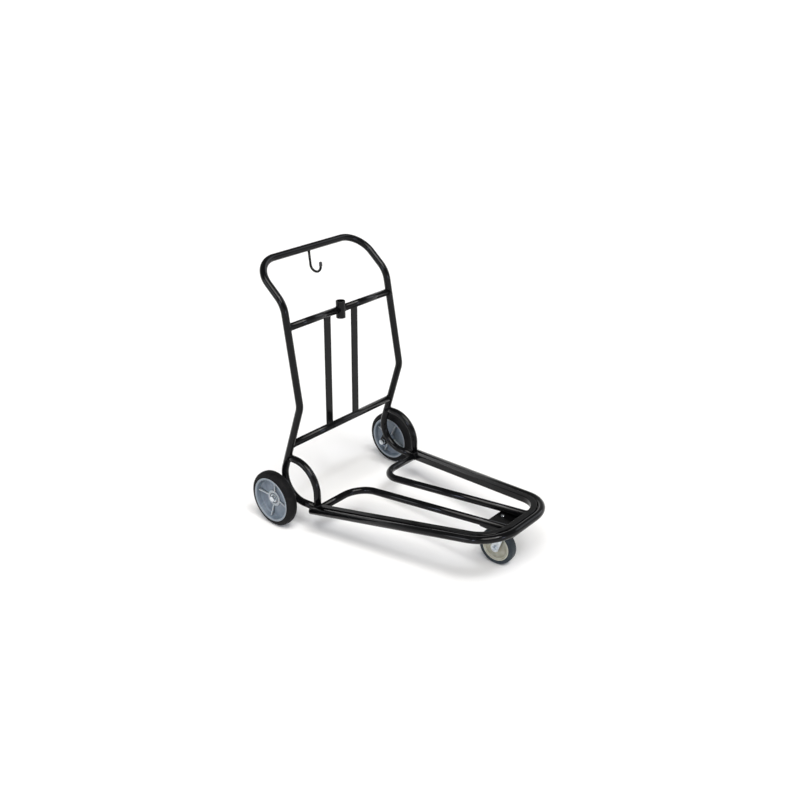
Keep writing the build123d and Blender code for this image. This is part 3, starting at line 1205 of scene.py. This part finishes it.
@dataclass
class BackRungs:
    """Two crossbars, and the two flat bars that stand between them."""

    upper_y: float = 325.8
    upper_z: float = 733.3
    lower_y: float = 331.0
    lower_z: float = 300.9
    bar_x: float = 67.5
    bar_width: float = 30.0
    bar_thickness: float = 6.0
    bar_corner: float = 1.6
    socket_r: float = 16.7

    def upper(self, side: Side) -> Member:
        """Half of the upper crossbar, from the socket out to the upright."""
        inner = mm(side.value * 20, self.upper_y, self.upper_z)
        outer = mm(side.value * 235, self.upper_y, self.upper_z)
        post = RoundCut(mm(0, self.upper_y, self.upper_z), Vector((0, 0, 1)), self.socket_r * MM)
        outline = circle_outline(TUBE_R * MM)
        return Member([inner, outer], outline, Vector((0, 0, 1)), post, BACK.upright(side))

    def lower(self) -> Member:
        """The lower crossbar, from one leg to the other."""
        ends = [mm(-235, self.lower_y, self.lower_z), mm(235, self.lower_y, self.lower_z)]
        outline = circle_outline(TUBE_R * MM)
        return Member(ends, outline, Vector((0, 0, 1)), BACK.leg(Side.RIGHT), BACK.leg(Side.LEFT))

    def flat(self, side: Side) -> Member:
        """One flat bar, from the lower crossbar up to the upper one."""
        foot = mm(side.value * self.bar_x, self.lower_y, self.lower_z)
        head = mm(side.value * self.bar_x, self.upper_y, self.upper_z)
        run = (head - foot).normalized()
        across = Vector((1, 0, 0))
        low = RoundCut(foot, across, TUBE_R * MM)
        high = RoundCut(head, across, TUBE_R * MM)
        outline = rounded_outline(
            self.bar_width * MM, self.bar_thickness * MM, self.bar_corner * MM
        )
        line = [foot + run * 0.03, head - run * 0.03]
        return Member(line, outline, Vector((0, -1, 0)), low, high)

    def build(self) -> None:
        """Make the crossbars and flat bars and weld them in."""
        for side in Side:
            crossbar, flat = self.upper(side), self.flat(side)
            crossbar.place(f"Upper_crossbar_{side.word}")
            TUBE_BEAD.run(f"Upper_crossbar_welds_{side.word}", crossbar.joints())
            flat.place(f"Back_bar_{side.word}", flat=True)
            BAR_BEAD.run(f"Back_bar_welds_{side.word}", flat.joints())
        lower = self.lower()
        lower.place("Lower_crossbar")
        TUBE_BEAD.run("Lower_crossbar_welds", lower.joints())


@dataclass
class PostSocket:
    """The short upright tube in the middle of the upper crossbar."""

    y: float = 325.8
    bottom: float = 702.0
    top: float = 763.5
    outer_r: float = 16.7
    bore_r: float = 13.6
    lip: float = 0.7

    def build(self) -> None:
        """Turn the tube with its sawn and lightly broken ends."""
        height = self.top - self.bottom
        profile = [
            (0, self.bore_r), (0, self.outer_r), (height, self.outer_r), (height, self.bore_r)
        ]
        tube = stood(
            lathe(soften(profile, self.lip), SOCKET_STEPS),
            mm(0, self.y, self.bottom),
            Vector((0, 0, 1)),
        )
        Piece("Accessory_socket", tube, BLACK_COAT, Body.FRAME, ("accessory_socket",)).place()


@dataclass
class HangerHook:
    """The bent rod hook under the handle, with a dipped cap on its tip."""

    rod_r: float = 4.4
    bend: float = 24.5
    top: tuple[float, float, float] = (0.0, 474.9, 920.0)
    back_y: float = 466.3
    front_y: float = 417.5
    bottom_z: float = 846.5
    tip_z: float = 884.0
    cap_r: float = 5.7
    cap_low: float = 870.0
    cap_high: float = 887.0

    def build(self) -> None:
        """Bend the rod, cap it and weld it to the handle."""
        handle = RoundCut(mm(0, 477.8, 927.7), Vector((1, 0, 0)), TUBE_R * MM)
        back, front = mm(0, self.back_y, self.bottom_z), mm(0, self.front_y, self.bottom_z)
        corners = [mm(0, self.front_y, self.tip_z - 2), front, back, mm(*self.top)]
        line = Route(corners, [self.bend * MM] * 2).points()
        rod = Member(
            line, circle_outline(self.rod_r * MM, HOOK_SIDES), Vector((0, 1, 0)), at_end=handle
        )
        length = self.cap_high - self.cap_low
        profile = [(0, 1.0), (0, self.cap_r - 0.9), (0.9, self.cap_r), (length * 0.72, self.cap_r)]
        for step in range(1, 9):
            turn = math.pi / 2 * step / 8
            along = length * 0.72 + length * 0.28 * math.sin(turn)
            profile.append((along, max(0.05, self.cap_r * math.cos(turn))))
        profile.append((length * 0.5, 0.05))
        cap = stood(lathe(profile, CAP_STEPS), mm(0, self.front_y, self.cap_low), Vector((0, 0, 1)))
        rod.place("Garment_hook")
        WeldBead(1.6, 1.6).run("Hook_weld", rod.joints()[1:])
        Piece("Hook_tip_cap", cap, DIPPED_VINYL, Body.FRAME, ("hook_tip_cap",)).place()


@dataclass
class Deck:
    """The sloping deck: a round outer rail, a flat-topped inner rail and two long inner tubes."""

    overhang: float = 16.5
    inner_width: float = 22.0
    inner_height: float = 25.0
    inner_corner: float = 3.0
    inner_behind: float = 12.0
    tube_x_rear: float = 59.5
    tube_x_front: float = 56.0
    tube_bend: float = 80.0
    gap: float = 0.1
    plug_flange: float = 2.5
    seam_gap: float = 0.4
    stitch_drop: float = 8.5
    stitch_length: float = 28.0
    stitch_shares: tuple[float, ...] = (0.08, 0.36, 0.64, 0.92)

    @property
    def inset(self) -> float:
        """How far the inner rail's middle is from the outer rail's."""
        return TUBE_R + self.gap + self.inner_width / 2

    def outer(self) -> Member:
        """The round outer rail."""
        line = DECK.rail(0.0, self.overhang).points()
        return Member(line, circle_outline(TUBE_R * MM, RAIL_SIDES), DECK.normal)

    def inner(self) -> Member:
        """The flat-topped inner rail."""
        line = DECK.rail(self.inset, self.inner_behind).points()
        outline = rounded_outline(
            self.inner_width * MM, self.inner_height * MM, self.inner_corner * MM
        )
        return Member(line, outline, DECK.normal)

    def loop(self, side: Side) -> Member:
        """One inner tube, from the side rail round its bend to the front rail."""
        face = self.inset + self.inner_width / 2 + self.gap
        lateral = DECK.half_rear - face / math.cos(DECK.taper)
        corners = [
            DECK.at(side.value * lateral, 0),
            DECK.at(side.value * self.tube_x_rear, 0),
            DECK.at(side.value * self.tube_x_front, DECK.length - face),
        ]
        along = DECK.forward * math.cos(DECK.taper) - Vector((side.value, 0, 0)) * math.sin(
            DECK.taper
        )
        rail = FlatCut(corners[0], along.cross(DECK.normal).normalized())
        front = FlatCut(corners[-1], DECK.forward)
        line = Route(corners, [self.tube_bend * MM]).points()
        return Member(line, circle_outline(TUBE_R * MM), DECK.normal, rail, front)

    def plug(self, spot: Vector, axis: Vector) -> bmesh.types.BMesh:
        """A domed plug in an end of the outer rail.

        Args:
            spot: The middle of the rail's end.
            axis: The direction out of the rail.

        Returns:
            The plug's mesh.
        """
        rim = TUBE_R - 0.15
        profile = [(-6.0, 0.3), (-6.0, rim - 2.2), (0.0, rim - 1.8), (0.0, rim), (0.9, rim)]
        for step in range(1, 8):
            turn = math.pi / 2 * step / 7
            along = 0.9 + (self.plug_flange - 0.9) * math.sin(turn)
            profile.append((along, max(0.3, rim - 3.4 * (1 - math.cos(turn)))))
        profile.append((self.plug_flange, 0.3))
        return stood(lathe(profile, PLUG_STEPS), spot, axis)

    def build(self) -> None:
        """Make the rails, the inner tubes, the plugs and their welds."""
        outer, inner = self.outer(), self.inner()
        ends = [
            (outer.line[0], outer.line[0] - outer.line[1]),
            (outer.line[-1], outer.line[-1] - outer.line[-2]),
        ]
        plugs = merged([self.plug(spot, axis.normalized()) for spot, axis in ends])
        Piece("Outer_deck_rail", outer.skin(), BLACK_COAT, Body.FRAME, ("deck_rail_outer",)).place()
        Piece(
            "Inner_deck_rail", inner.skin(), BLACK_COAT, Body.FRAME, ("deck_rail_inner",), True
        ).place()
        Piece("Rail_end_plugs", plugs, PLUG_PLASTIC, Body.FRAME, ("rail_end_plugs",)).place()
        WeldBead(2.6, 2.4).run("Rail_stitch_welds", self.stitches(), closed=False)
        for side in Side:
            loop = self.loop(side)
            loop.place(f"Deck_tube_{side.word}")
            WeldBead().run(f"Deck_tube_welds_{side.word}", loop.joints())

    def stitches(self) -> list[list[Vector]]:
        """Where short welds on the underside tie the two rails together.

        Returns:
            Both ends of each stitch.
        """
        lines = []
        seam = DECK.rail(TUBE_R + self.seam_gap, 0.0).points()
        down = DECK.normal * (-self.stitch_drop * MM)
        for low, high in (seam[:2], seam[-2:]):
            run = high - low
            half = run.normalized() * (self.stitch_length / 2 * MM)
            middles = [low + run * share + down for share in self.stitch_shares]
            lines += [[middle - half, middle + half] for middle in middles]
        return lines


@dataclass
class Braces:
    """The two bent tubes that come off the legs, over the wheels' fronts, down to the deck."""

    x: float = 259.5
    top_y: float = 348.0
    top_z: float = 249.0
    foot_y: float = 209.0
    bend: float = 100.0

    def build(self) -> None:
        """Bend each brace, cut its ends to the leg and the rail, and weld it in."""
        for side in Side:
            x = side.value * self.x
            foot = DECK.at(x, (DECK.y - self.foot_y), 12.6)
            corners = [
                mm(x, self.top_y - 16, self.top_z),
                mm(x, self.foot_y, self.top_z),
                mm(x, self.foot_y, 104),
            ]
            line = Route(corners, [self.bend * MM]).points()
            cuts = BACK.leg(side), FlatCut(foot, DECK.normal)
            member = Member(line, circle_outline(TUBE_R * MM), Vector((0, 0, 1)), *cuts)
            member.place(f"Brace_{side.word}")
            top_joint, foot_joint = member.joints()
            beads = merged([WeldBead(1.5).lay(top_joint), TUBE_BEAD.lay(foot_joint)])
            Piece(f"Brace_welds_{side.word}", beads, WELD_COAT, Body.FRAME).place()


@dataclass
class AxleSet:
    """What holds a rear wheel: welded lug, bolt, nut, washers and spacer."""

    y: float = 368.4
    z: float = 101.6
    lug_x: float = 262.6
    lug_half: float = 3.0
    spacer_r: float = 11.0
    spacer_bore: float = 6.5
    spacer_to: float = 281.1
    past_low: float = 4.0
    past_high: float = 3.0
    sink: float = 0.985

    def spacer(self, side: Side) -> bmesh.types.BMesh:
        """The sleeve between the lug and the hub."""
        length = self.spacer_to - self.lug_x - self.lug_half
        profile = [
            (0, self.spacer_bore),
            (0, self.spacer_r),
            (length, self.spacer_r),
            (length, self.spacer_bore),
        ]
        start = mm(side.value * (self.lug_x + self.lug_half), self.y, self.z)
        return stood(lathe(soften(profile, 0.6), SPACER_STEPS), start, Vector((side.value, 0, 0)))

    def lug_joints(self, side: Side) -> list[list[Vector]]:
        """Where the lug's two faces meet the inside of the heel bend.

        Args:
            side: Which wheel's lug.

        Returns:
            One line for each face.
        """
        low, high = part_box(f"axle_lug_{side.word}")
        line = BackFrame().route().points()
        axle = mm(side.value * self.lug_x, self.y, self.z)
        below, above = self.past_low * MM, self.past_high * MM
        joints = []
        for face in (-self.lug_half, self.lug_half):
            joint = []
            for spot in line:
                if spot.x * side.value < 0:
                    continue
                level = Vector((axle.x + face * MM, spot.y, spot.z))
                inward = (Vector((level.x, axle.y, axle.z)) - level).normalized()
                edge = level + inward * (TUBE_R * MM * self.sink)
                if all(low[i] - below < edge[i] < high[i] + above for i in (1, 2)):
                    joint.append(edge)
            joints.append(joint)
        return [joint for joint in joints if len(joint) > 1]

    def build(self) -> None:
        """Dress both sides' fasteners and weld the lugs."""
        for side in Side:
            word = side.word
            machined(f"axle_lug_{word}", BLACK_COAT, Body.FRAME, 0.7).place()
            WeldBead(2.0).run(f"Axle_lug_welds_{word}", self.lug_joints(side), closed=False)
            for name, bevel in (("axle_bolt", 0.45), ("axle_nut", 0.45), ("axle_washers", 0.3)):
                machined(f"{name}_{word}", ZINC, Body.FRAME, bevel).place()
            node = f"axle_spacer_{word}"
            Piece(f"Axle_spacer_{word}", self.spacer(side), ZINC, Body.FRAME, (node,)).place()


@dataclass
class RearWheel:
    """An eight-inch solid rubber tyre on a moulded hub with a deep dish and four ribs."""

    side: Side
    rib_turn: float
    x: float = 314.4
    y: float = 368.4
    z: float = 101.6
    tyre_r: float = 101.6
    tyre_half: float = 19.2
    hub_r: float = 80.0
    rim_half: float = 21.5
    rim_inner: float = 74.0
    web_half: float = 2.2
    boss_r: float = 16.0
    boss_inner: float = -33.0
    boss_outer: float = 5.0
    boss_face_r: float = 29.0
    bore_r: float = 9.0
    ribs: int = 4
    rib_foot: float = 4.8
    rib_crest: float = 3.2

    def hub_profile(self) -> list[tuple[float, float]]:
        """The hub's turned outline, from the bore round its outboard face and back.

        Returns:
            Distance outboard and radius of each point, in millimetres.
        """
        web, rim, half = self.web_half, self.rim_inner, self.rim_half
        outboard = [
            (self.boss_outer, self.bore_r),
            (self.boss_outer, 16.4),
            (self.boss_outer - 3.0, 16.8),
            (self.boss_outer - 3.0, 19.6),
            (self.boss_outer, 20.0),
            (self.boss_outer, self.boss_face_r),
            (0.4, self.boss_face_r + 1.0),
            (0.4, self.hub_r * 0.8),
            (web + 2.4, rim - 3.6),
            (half - 3.2, rim - 0.6),
            (half - 0.6, rim + 0.4),
            (half, rim + 1.6),
            (half, self.hub_r + 0.4),
            (half - 0.7, self.hub_r + 1.6),
            (half - 1.3, self.hub_r + 0.6),
            (half - 1.6, self.hub_r - 0.4),
        ]
        inboard = [(-x, r) for x, r in reversed(outboard[9:])]
        inboard += [(-web - 3.0, rim - 3.4), (-web, self.hub_r * 0.82)]
        boss = [
            (-web, self.boss_r + 1.6),
            (self.boss_inner, self.boss_r),
            (self.boss_inner, self.bore_r),
        ]
        return outboard + inboard + boss

    def rib(self, outboard: bool) -> bmesh.types.BMesh:
        """One rib, drafted thinner towards its crest, standing out along +Y.

        Args:
            outboard: Whether it stands on the hub's outboard face.

        Returns:
            The rib's mesh.
        """
        sign = 1 if outboard else -1
        steps = 10
        start = (self.boss_face_r if outboard else self.boss_r) - 1.0
        stop = self.rim_inner + 0.5
        crest_start = self.boss_outer if outboard else 17.5
        crest_stop = 13.5
        rings = []
        for index in range(steps + 1):
            share = index / steps
            reach = start + (stop - start) * share
            crest = crest_start + (crest_stop - crest_start) * share - 0.9 * math.sin(
                math.pi * share
            )
            foot, top = self.rib_foot / 2, self.rib_crest / 2
            section = [
                (-foot - 1.0, self.web_half - 0.6),
                (-foot, self.web_half + 0.8),
                (-top, crest - 0.9),
            ]
            section += [(-top + 0.5, crest - 0.2), (0.0, crest), (top - 0.5, crest - 0.2)]
            section += [
                (top, crest - 0.9), (foot, self.web_half + 0.8), (foot + 1.0, self.web_half - 0.6)
            ]
            rings.append([mm(sign * depth, reach, across) for across, depth in section])
        return loft(rings)

    def hub(self) -> bmesh.types.BMesh:
        """The whole hub, outboard towards +X."""
        parts = [lathe(soften(self.hub_profile(), 0.8, 3), HUB_STEPS)]
        for index in range(self.ribs):
            for outboard in (True, False):
                rib = self.rib(outboard)
                angle = math.radians(self.rib_turn + index * 360 / self.ribs)
                rib.transform(Matrix.Rotation(angle, 4, "X"))
                parts.append(rib)
        return merged(parts)

    def tyre(self) -> bmesh.types.BMesh:
        """The tyre: flat-topped crown, round shoulders and a raised line on each side wall.

        Returns:
            The tyre's mesh about its own axle.
        """
        half, crown = self.tyre_half, self.tyre_r
        face = [
            (half - 0.2, self.hub_r + 0.1),
            (half + 0.35, self.hub_r + 4.0),
            (half + 0.3, self.hub_r + 7.0),
            (half + 0.75, self.hub_r + 7.6),
            (half + 0.7, self.hub_r + 8.3),
            (half - 0.1, self.hub_r + 9.0),
            (half - 1.0, self.hub_r + 12.5),
            (half - 3.0, self.hub_r + 16.2),
            (half - 6.4, self.hub_r + 19.2),
            (half - 10.5, crown - 0.9),
            (half - 15.0, crown - 0.25),
        ]
        profile = face + [(0.0, crown)] + [(-x, r) for x, r in reversed(face)]
        return lathe(soften(profile, 1.6, 3), TYRE_STEPS)

    def build(self) -> None:
        """Make the tyre and the hub and let them turn with their body."""
        body = Body.WHEEL_LEFT if self.side is Side.LEFT else Body.WHEEL_RIGHT
        word = self.side.word
        meshes = []
        for mesh in (self.hub(), self.tyre()):
            mesh.transform(Matrix.Translation(mm(self.x, self.y, self.z)))
            meshes.append(mesh if self.side is Side.LEFT else mirrored_x(mesh))
        Piece(
            f"Hub_{word}", meshes[0], HUB_PLASTIC, body, (f"hub_{word}",), flat_weight=True
        ).place()
        Piece(f"Tyre_{word}", meshes[1], TYRE_RUBBER, body, (f"tyre_{word}",)).place()
        machined(f"wheel_bushing_{word}", ZINC, body, 0.3).place()


@dataclass
class CasterMount:
    """The folded plate under the deck's nose, and the fixed half of the caster bolted to it."""

    half: float = 62.0
    rear_y: float = -343.0
    front_y: float = -466.0
    weld_front_y: float = -436.0
    tube_x: float = 57.0

    def joints(self) -> list[list[Vector]]:
        """Where the plate's walls meet the deck's tubes.

        Returns:
            Three lines: one each side and one in front.
        """
        lines = []
        level = math.cos(math.radians(DECK.slope))
        for side in Side:
            joint = []
            for step in range(9):
                y = self.rear_y + 3 + (self.weld_front_y - self.rear_y) * step / 8
                drop = math.sqrt(TUBE_R**2 - (self.half - self.tube_x) ** 2)
                joint.append(DECK.at(side.value * (self.half + 0.3), (DECK.y - y) / level, -drop))
            lines.append(joint)
        ahead = (DECK.y - self.front_y - 1.0) / level
        lines.append([DECK.at(x, ahead - 2.0, -TUBE_R) for x in (-self.half + 3, self.half - 3)])
        return lines

    def build(self) -> None:
        """Dress the plate, the caster's top plate, its kingpin and the bolts."""
        machined("caster_mount_plate", BLACK_COAT, Body.FRAME, 0.9).place()
        WeldBead(2.0, 2.0).run("Mount_plate_welds", self.joints(), closed=False)
        zinc = {
            "caster_top_plate": 0.5, "caster_kingpin": 0.3, "plate_bolts": 0.35, "plate_nuts": 0.35
        }
        for node, bevel in zinc.items():
            machined(node, ZINC, Body.FRAME, bevel).place()


@dataclass
class Caster:
    """The swivelling half: pressed fork, axle and the wheel with its bonded tread."""

    kingpin_y: float = -408.0
    trail: float = 33.0
    turn: float = 4.5
    wheel_r: float = 63.5
    core_r: float = 49.0
    half: float = 15.9
    boss_half: float = 18.6
    boss_r: float = 12.5
    bore_r: float = 6.4

    def spot(self) -> Matrix:
        """Where the wheel stands, with the swivel as it is at rest."""
        pivot = Matrix.Translation(mm(0, self.kingpin_y, 0)) @ Matrix.Rotation(
            math.radians(self.turn), 4, "Z"
        )
        return pivot @ Matrix.Translation(mm(0, self.trail, self.wheel_r))

    def core(self) -> bmesh.types.BMesh:
        """The moulded core: boss, dished web and a raised rim with a bead round it.

        Returns:
            The core's mesh about its own axle.
        """
        half = self.half - 0.5
        face = [
            (self.boss_half, self.bore_r),
            (self.boss_half, self.boss_r - 0.8),
            (self.boss_half - 0.8, self.boss_r),
            (10.2, self.boss_r + 1.6),
            (8.4, self.boss_r + 5.0),
            (7.6, 33.5),
            (8.6, 36.5),
            (12.0, 39.6),
            (half - 1.2, 41.4),
            (half - 1.0, 43.6),
            (half - 0.6, 44.6),
            (half + 0.8, 46.2),
            (half + 0.8, self.core_r - 0.7),
            (half - 0.4, self.core_r),
        ]
        return lathe(soften(face + [(-x, r) for x, r in reversed(face)], 1.0, 3), CORE_STEPS)

    def tread(self) -> bmesh.types.BMesh:
        """The bonded tread, with round shoulders and a fine parting line.

        Returns:
            The tread's mesh about its own axle.
        """
        half, crown = self.half, self.wheel_r
        face = [
            (half - 0.4, self.core_r),
            (half, self.core_r + 0.6),
            (half, crown - 5.2),
            (half - 0.5, crown - 3.2),
            (half - 1.9, crown - 1.5),
            (half - 4.2, crown - 0.62),
            (half - 9.0, crown - 0.16),
            (0.35, crown - 0.02),
        ]
        profile = face + [(0.0, crown)] + [(-x, r) for x, r in reversed(face)]
        return lathe(soften(profile, 0.9, 3), TREAD_STEPS)

    def build(self) -> None:
        """Make the wheel and dress the fork and its fasteners."""
        meshes = [self.core(), self.tread()]
        for mesh in meshes:
            mesh.transform(self.spot())
        body = Body.CASTER_WHEEL
        Piece("Caster_wheel_core", meshes[0], CORE_PLASTIC, body, ("caster_wheel_core",)).place()
        Piece("Caster_tread", meshes[1], TREAD_RUBBER, body, ("caster_tread",)).place()
        zinc = {
            "caster_fork": 0.7,
            "caster_axle_bolt": 0.4,
            "caster_axle_nut": 0.4,
            "caster_axle_sleeve": 0.3,
        }
        for node, bevel in zinc.items():
            machined(node, ZINC, Body.SWIVEL, bevel).place()
        dress_node("swivel_balls", ZINC)


# ------------------------------------------------------------------ studio


@dataclass
class Studio:
    """A pale floor, an even pale surround, soft light from above and low down, and the camera."""

    floor_half: float = 80.0
    eye: tuple[float, float, float] = (-2.3179, -1.9620, 1.8710)
    azimuth: float = -49.17
    look_down: float = 21.89
    roll: float = -0.24
    lens: float = 44.31
    shift: tuple[float, float] = (-0.0032, -0.0585)

    def floor(self) -> None:
        """Lay the floor and give it its painted surface."""
        mesh = bmesh.new()
        bmesh.ops.create_grid(mesh, x_segments=8, y_segments=8, size=self.floor_half)
        data = bpy.data.meshes.new("Studio_floor")
        mesh.to_mesh(data)
        mesh.free()
        data.materials.append(PAINTED_FLOOR.material())
        thing = bpy.data.objects.new("Studio_floor", data)
        thing.location = (0, 0, -0.0002)
        bpy.context.scene.collection.objects.link(thing)

    def surround(self) -> None:
        """Light the surround: pale near the horizon, dim overhead."""
        world = bpy.data.worlds.new("Studio_surround")
        world.use_nodes = True
        tree = world.node_tree
        tree.nodes.clear()
        spot = add_node(tree, "ShaderNodeTexCoord")
        split = add_node(
            tree, "ShaderNodeSeparateXYZ", inputs={"Vector": spot.outputs["Generated"]}
        )
        ramp = add_node(tree, "ShaderNodeValToRGB", inputs={"Fac": split.outputs["Z"]})
        set_ramp(ramp, [(0.0, grey(1.0)), (0.2, grey(1.0)), (0.34, grey(0.3)), (1.0, grey(0.12))])
        light = add_node(
            tree, "ShaderNodeBackground", inputs={"Color": ramp.outputs["Color"], "Strength": 1.0}
        )
        add_node(tree, "ShaderNodeOutputWorld", inputs={"Surface": light.outputs["Background"]})
        bpy.context.scene.world = world

    def lamp(
        self,
        name: str,
        heading: tuple[float, float, float],
        strength: float,
        spread: float,
        tint: str = "#ffffff",
    ) -> None:
        """Hang one soft light.

        Args:
            name: The light's name.
            heading: Which way its light travels.
            strength: Irradiance in watts per square metre.
            spread: The angle that the light fills, in degrees.
            tint: The light's colour.
        """
        data = bpy.data.lights.new(name, "SUN")
        data.energy = strength
        data.angle = math.radians(spread)
        data.color = linear(tint)[:3]
        thing = bpy.data.objects.new(name, data)
        thing.rotation_euler = Vector(heading).to_track_quat("-Z", "Y").to_euler()
        bpy.context.scene.collection.objects.link(thing)

    def camera(self) -> None:
        """Set up the camera at its measured place."""
        data = bpy.data.cameras.new("Studio_camera")
        data.lens = self.lens
        data.sensor_width = 36.0
        data.shift_x, data.shift_y = self.shift
        data.clip_end = 400.0
        thing = bpy.data.objects.new("Studio_camera", data)
        az, el, roll = (math.radians(a) for a in (self.azimuth, self.look_down, self.roll))
        right = Vector((math.cos(az), math.sin(az), 0))
        ahead = Vector((-math.sin(az) * math.cos(el), math.cos(az) * math.cos(el), -math.sin(el)))
        up = right.cross(ahead)
        across = right * math.cos(roll) + up * math.sin(roll)
        upward = up * math.cos(roll) - right * math.sin(roll)
        turn = Matrix((across, upward, -ahead)).transposed()
        thing.matrix_world = Matrix.Translation(Vector(self.eye)) @ turn.to_4x4()
        bpy.context.scene.collection.objects.link(thing)
        bpy.context.scene.camera = thing

    def build(self) -> None:
        """Set the whole studio up."""
        self.floor()
        self.surround()
        self.lamp("Overhead_softbox", (0.35, 0.45, -1.0), 2.9, 42.0, "#fffcf8")
        self.lamp("Overhead_strip", (0.1, 0.5, -1.0), 0.42, 8.0, "#f6f9ff")
        self.lamp("Far_softbox", (-0.9, 0.35, -0.55), 0.6, 34.0, "#f4f7ff")
        self.lamp("Near_softbox", (0.85, -0.3, -0.32), 0.55, 22.0, "#f4f7ff")
        self.lamp("Low_side_lamp", (0.94, 0.1, -0.27), 0.4, 9.0, "#d3deff")
        self.lamp("Low_front_lamp", (0.08, 0.98, -0.14), 0.3, 9.0, "#d3deff")
        self.camera()
        bpy.context.scene.view_settings.view_transform = "Standard"
        log.info("studio ready")


def main() -> None:
    """Build the trolley in the order a maker would, then the studio around it."""
    logging.basicConfig(level=logging.INFO, format="%(name)s: %(message)s")
    for assembly in (
        BackFrame(),
        BackRungs(),
        PostSocket(),
        HangerHook(),
        Deck(),
        Braces(),
        AxleSet(),
        RearWheel(Side.LEFT, 25.0),
        RearWheel(Side.RIGHT, 10.0),
        CasterMount(),
        Caster(),
        Studio(),
    ):
        assembly.build()
        log.info("%s done", type(assembly).__name__)


if __name__ == "__main__":
    main()
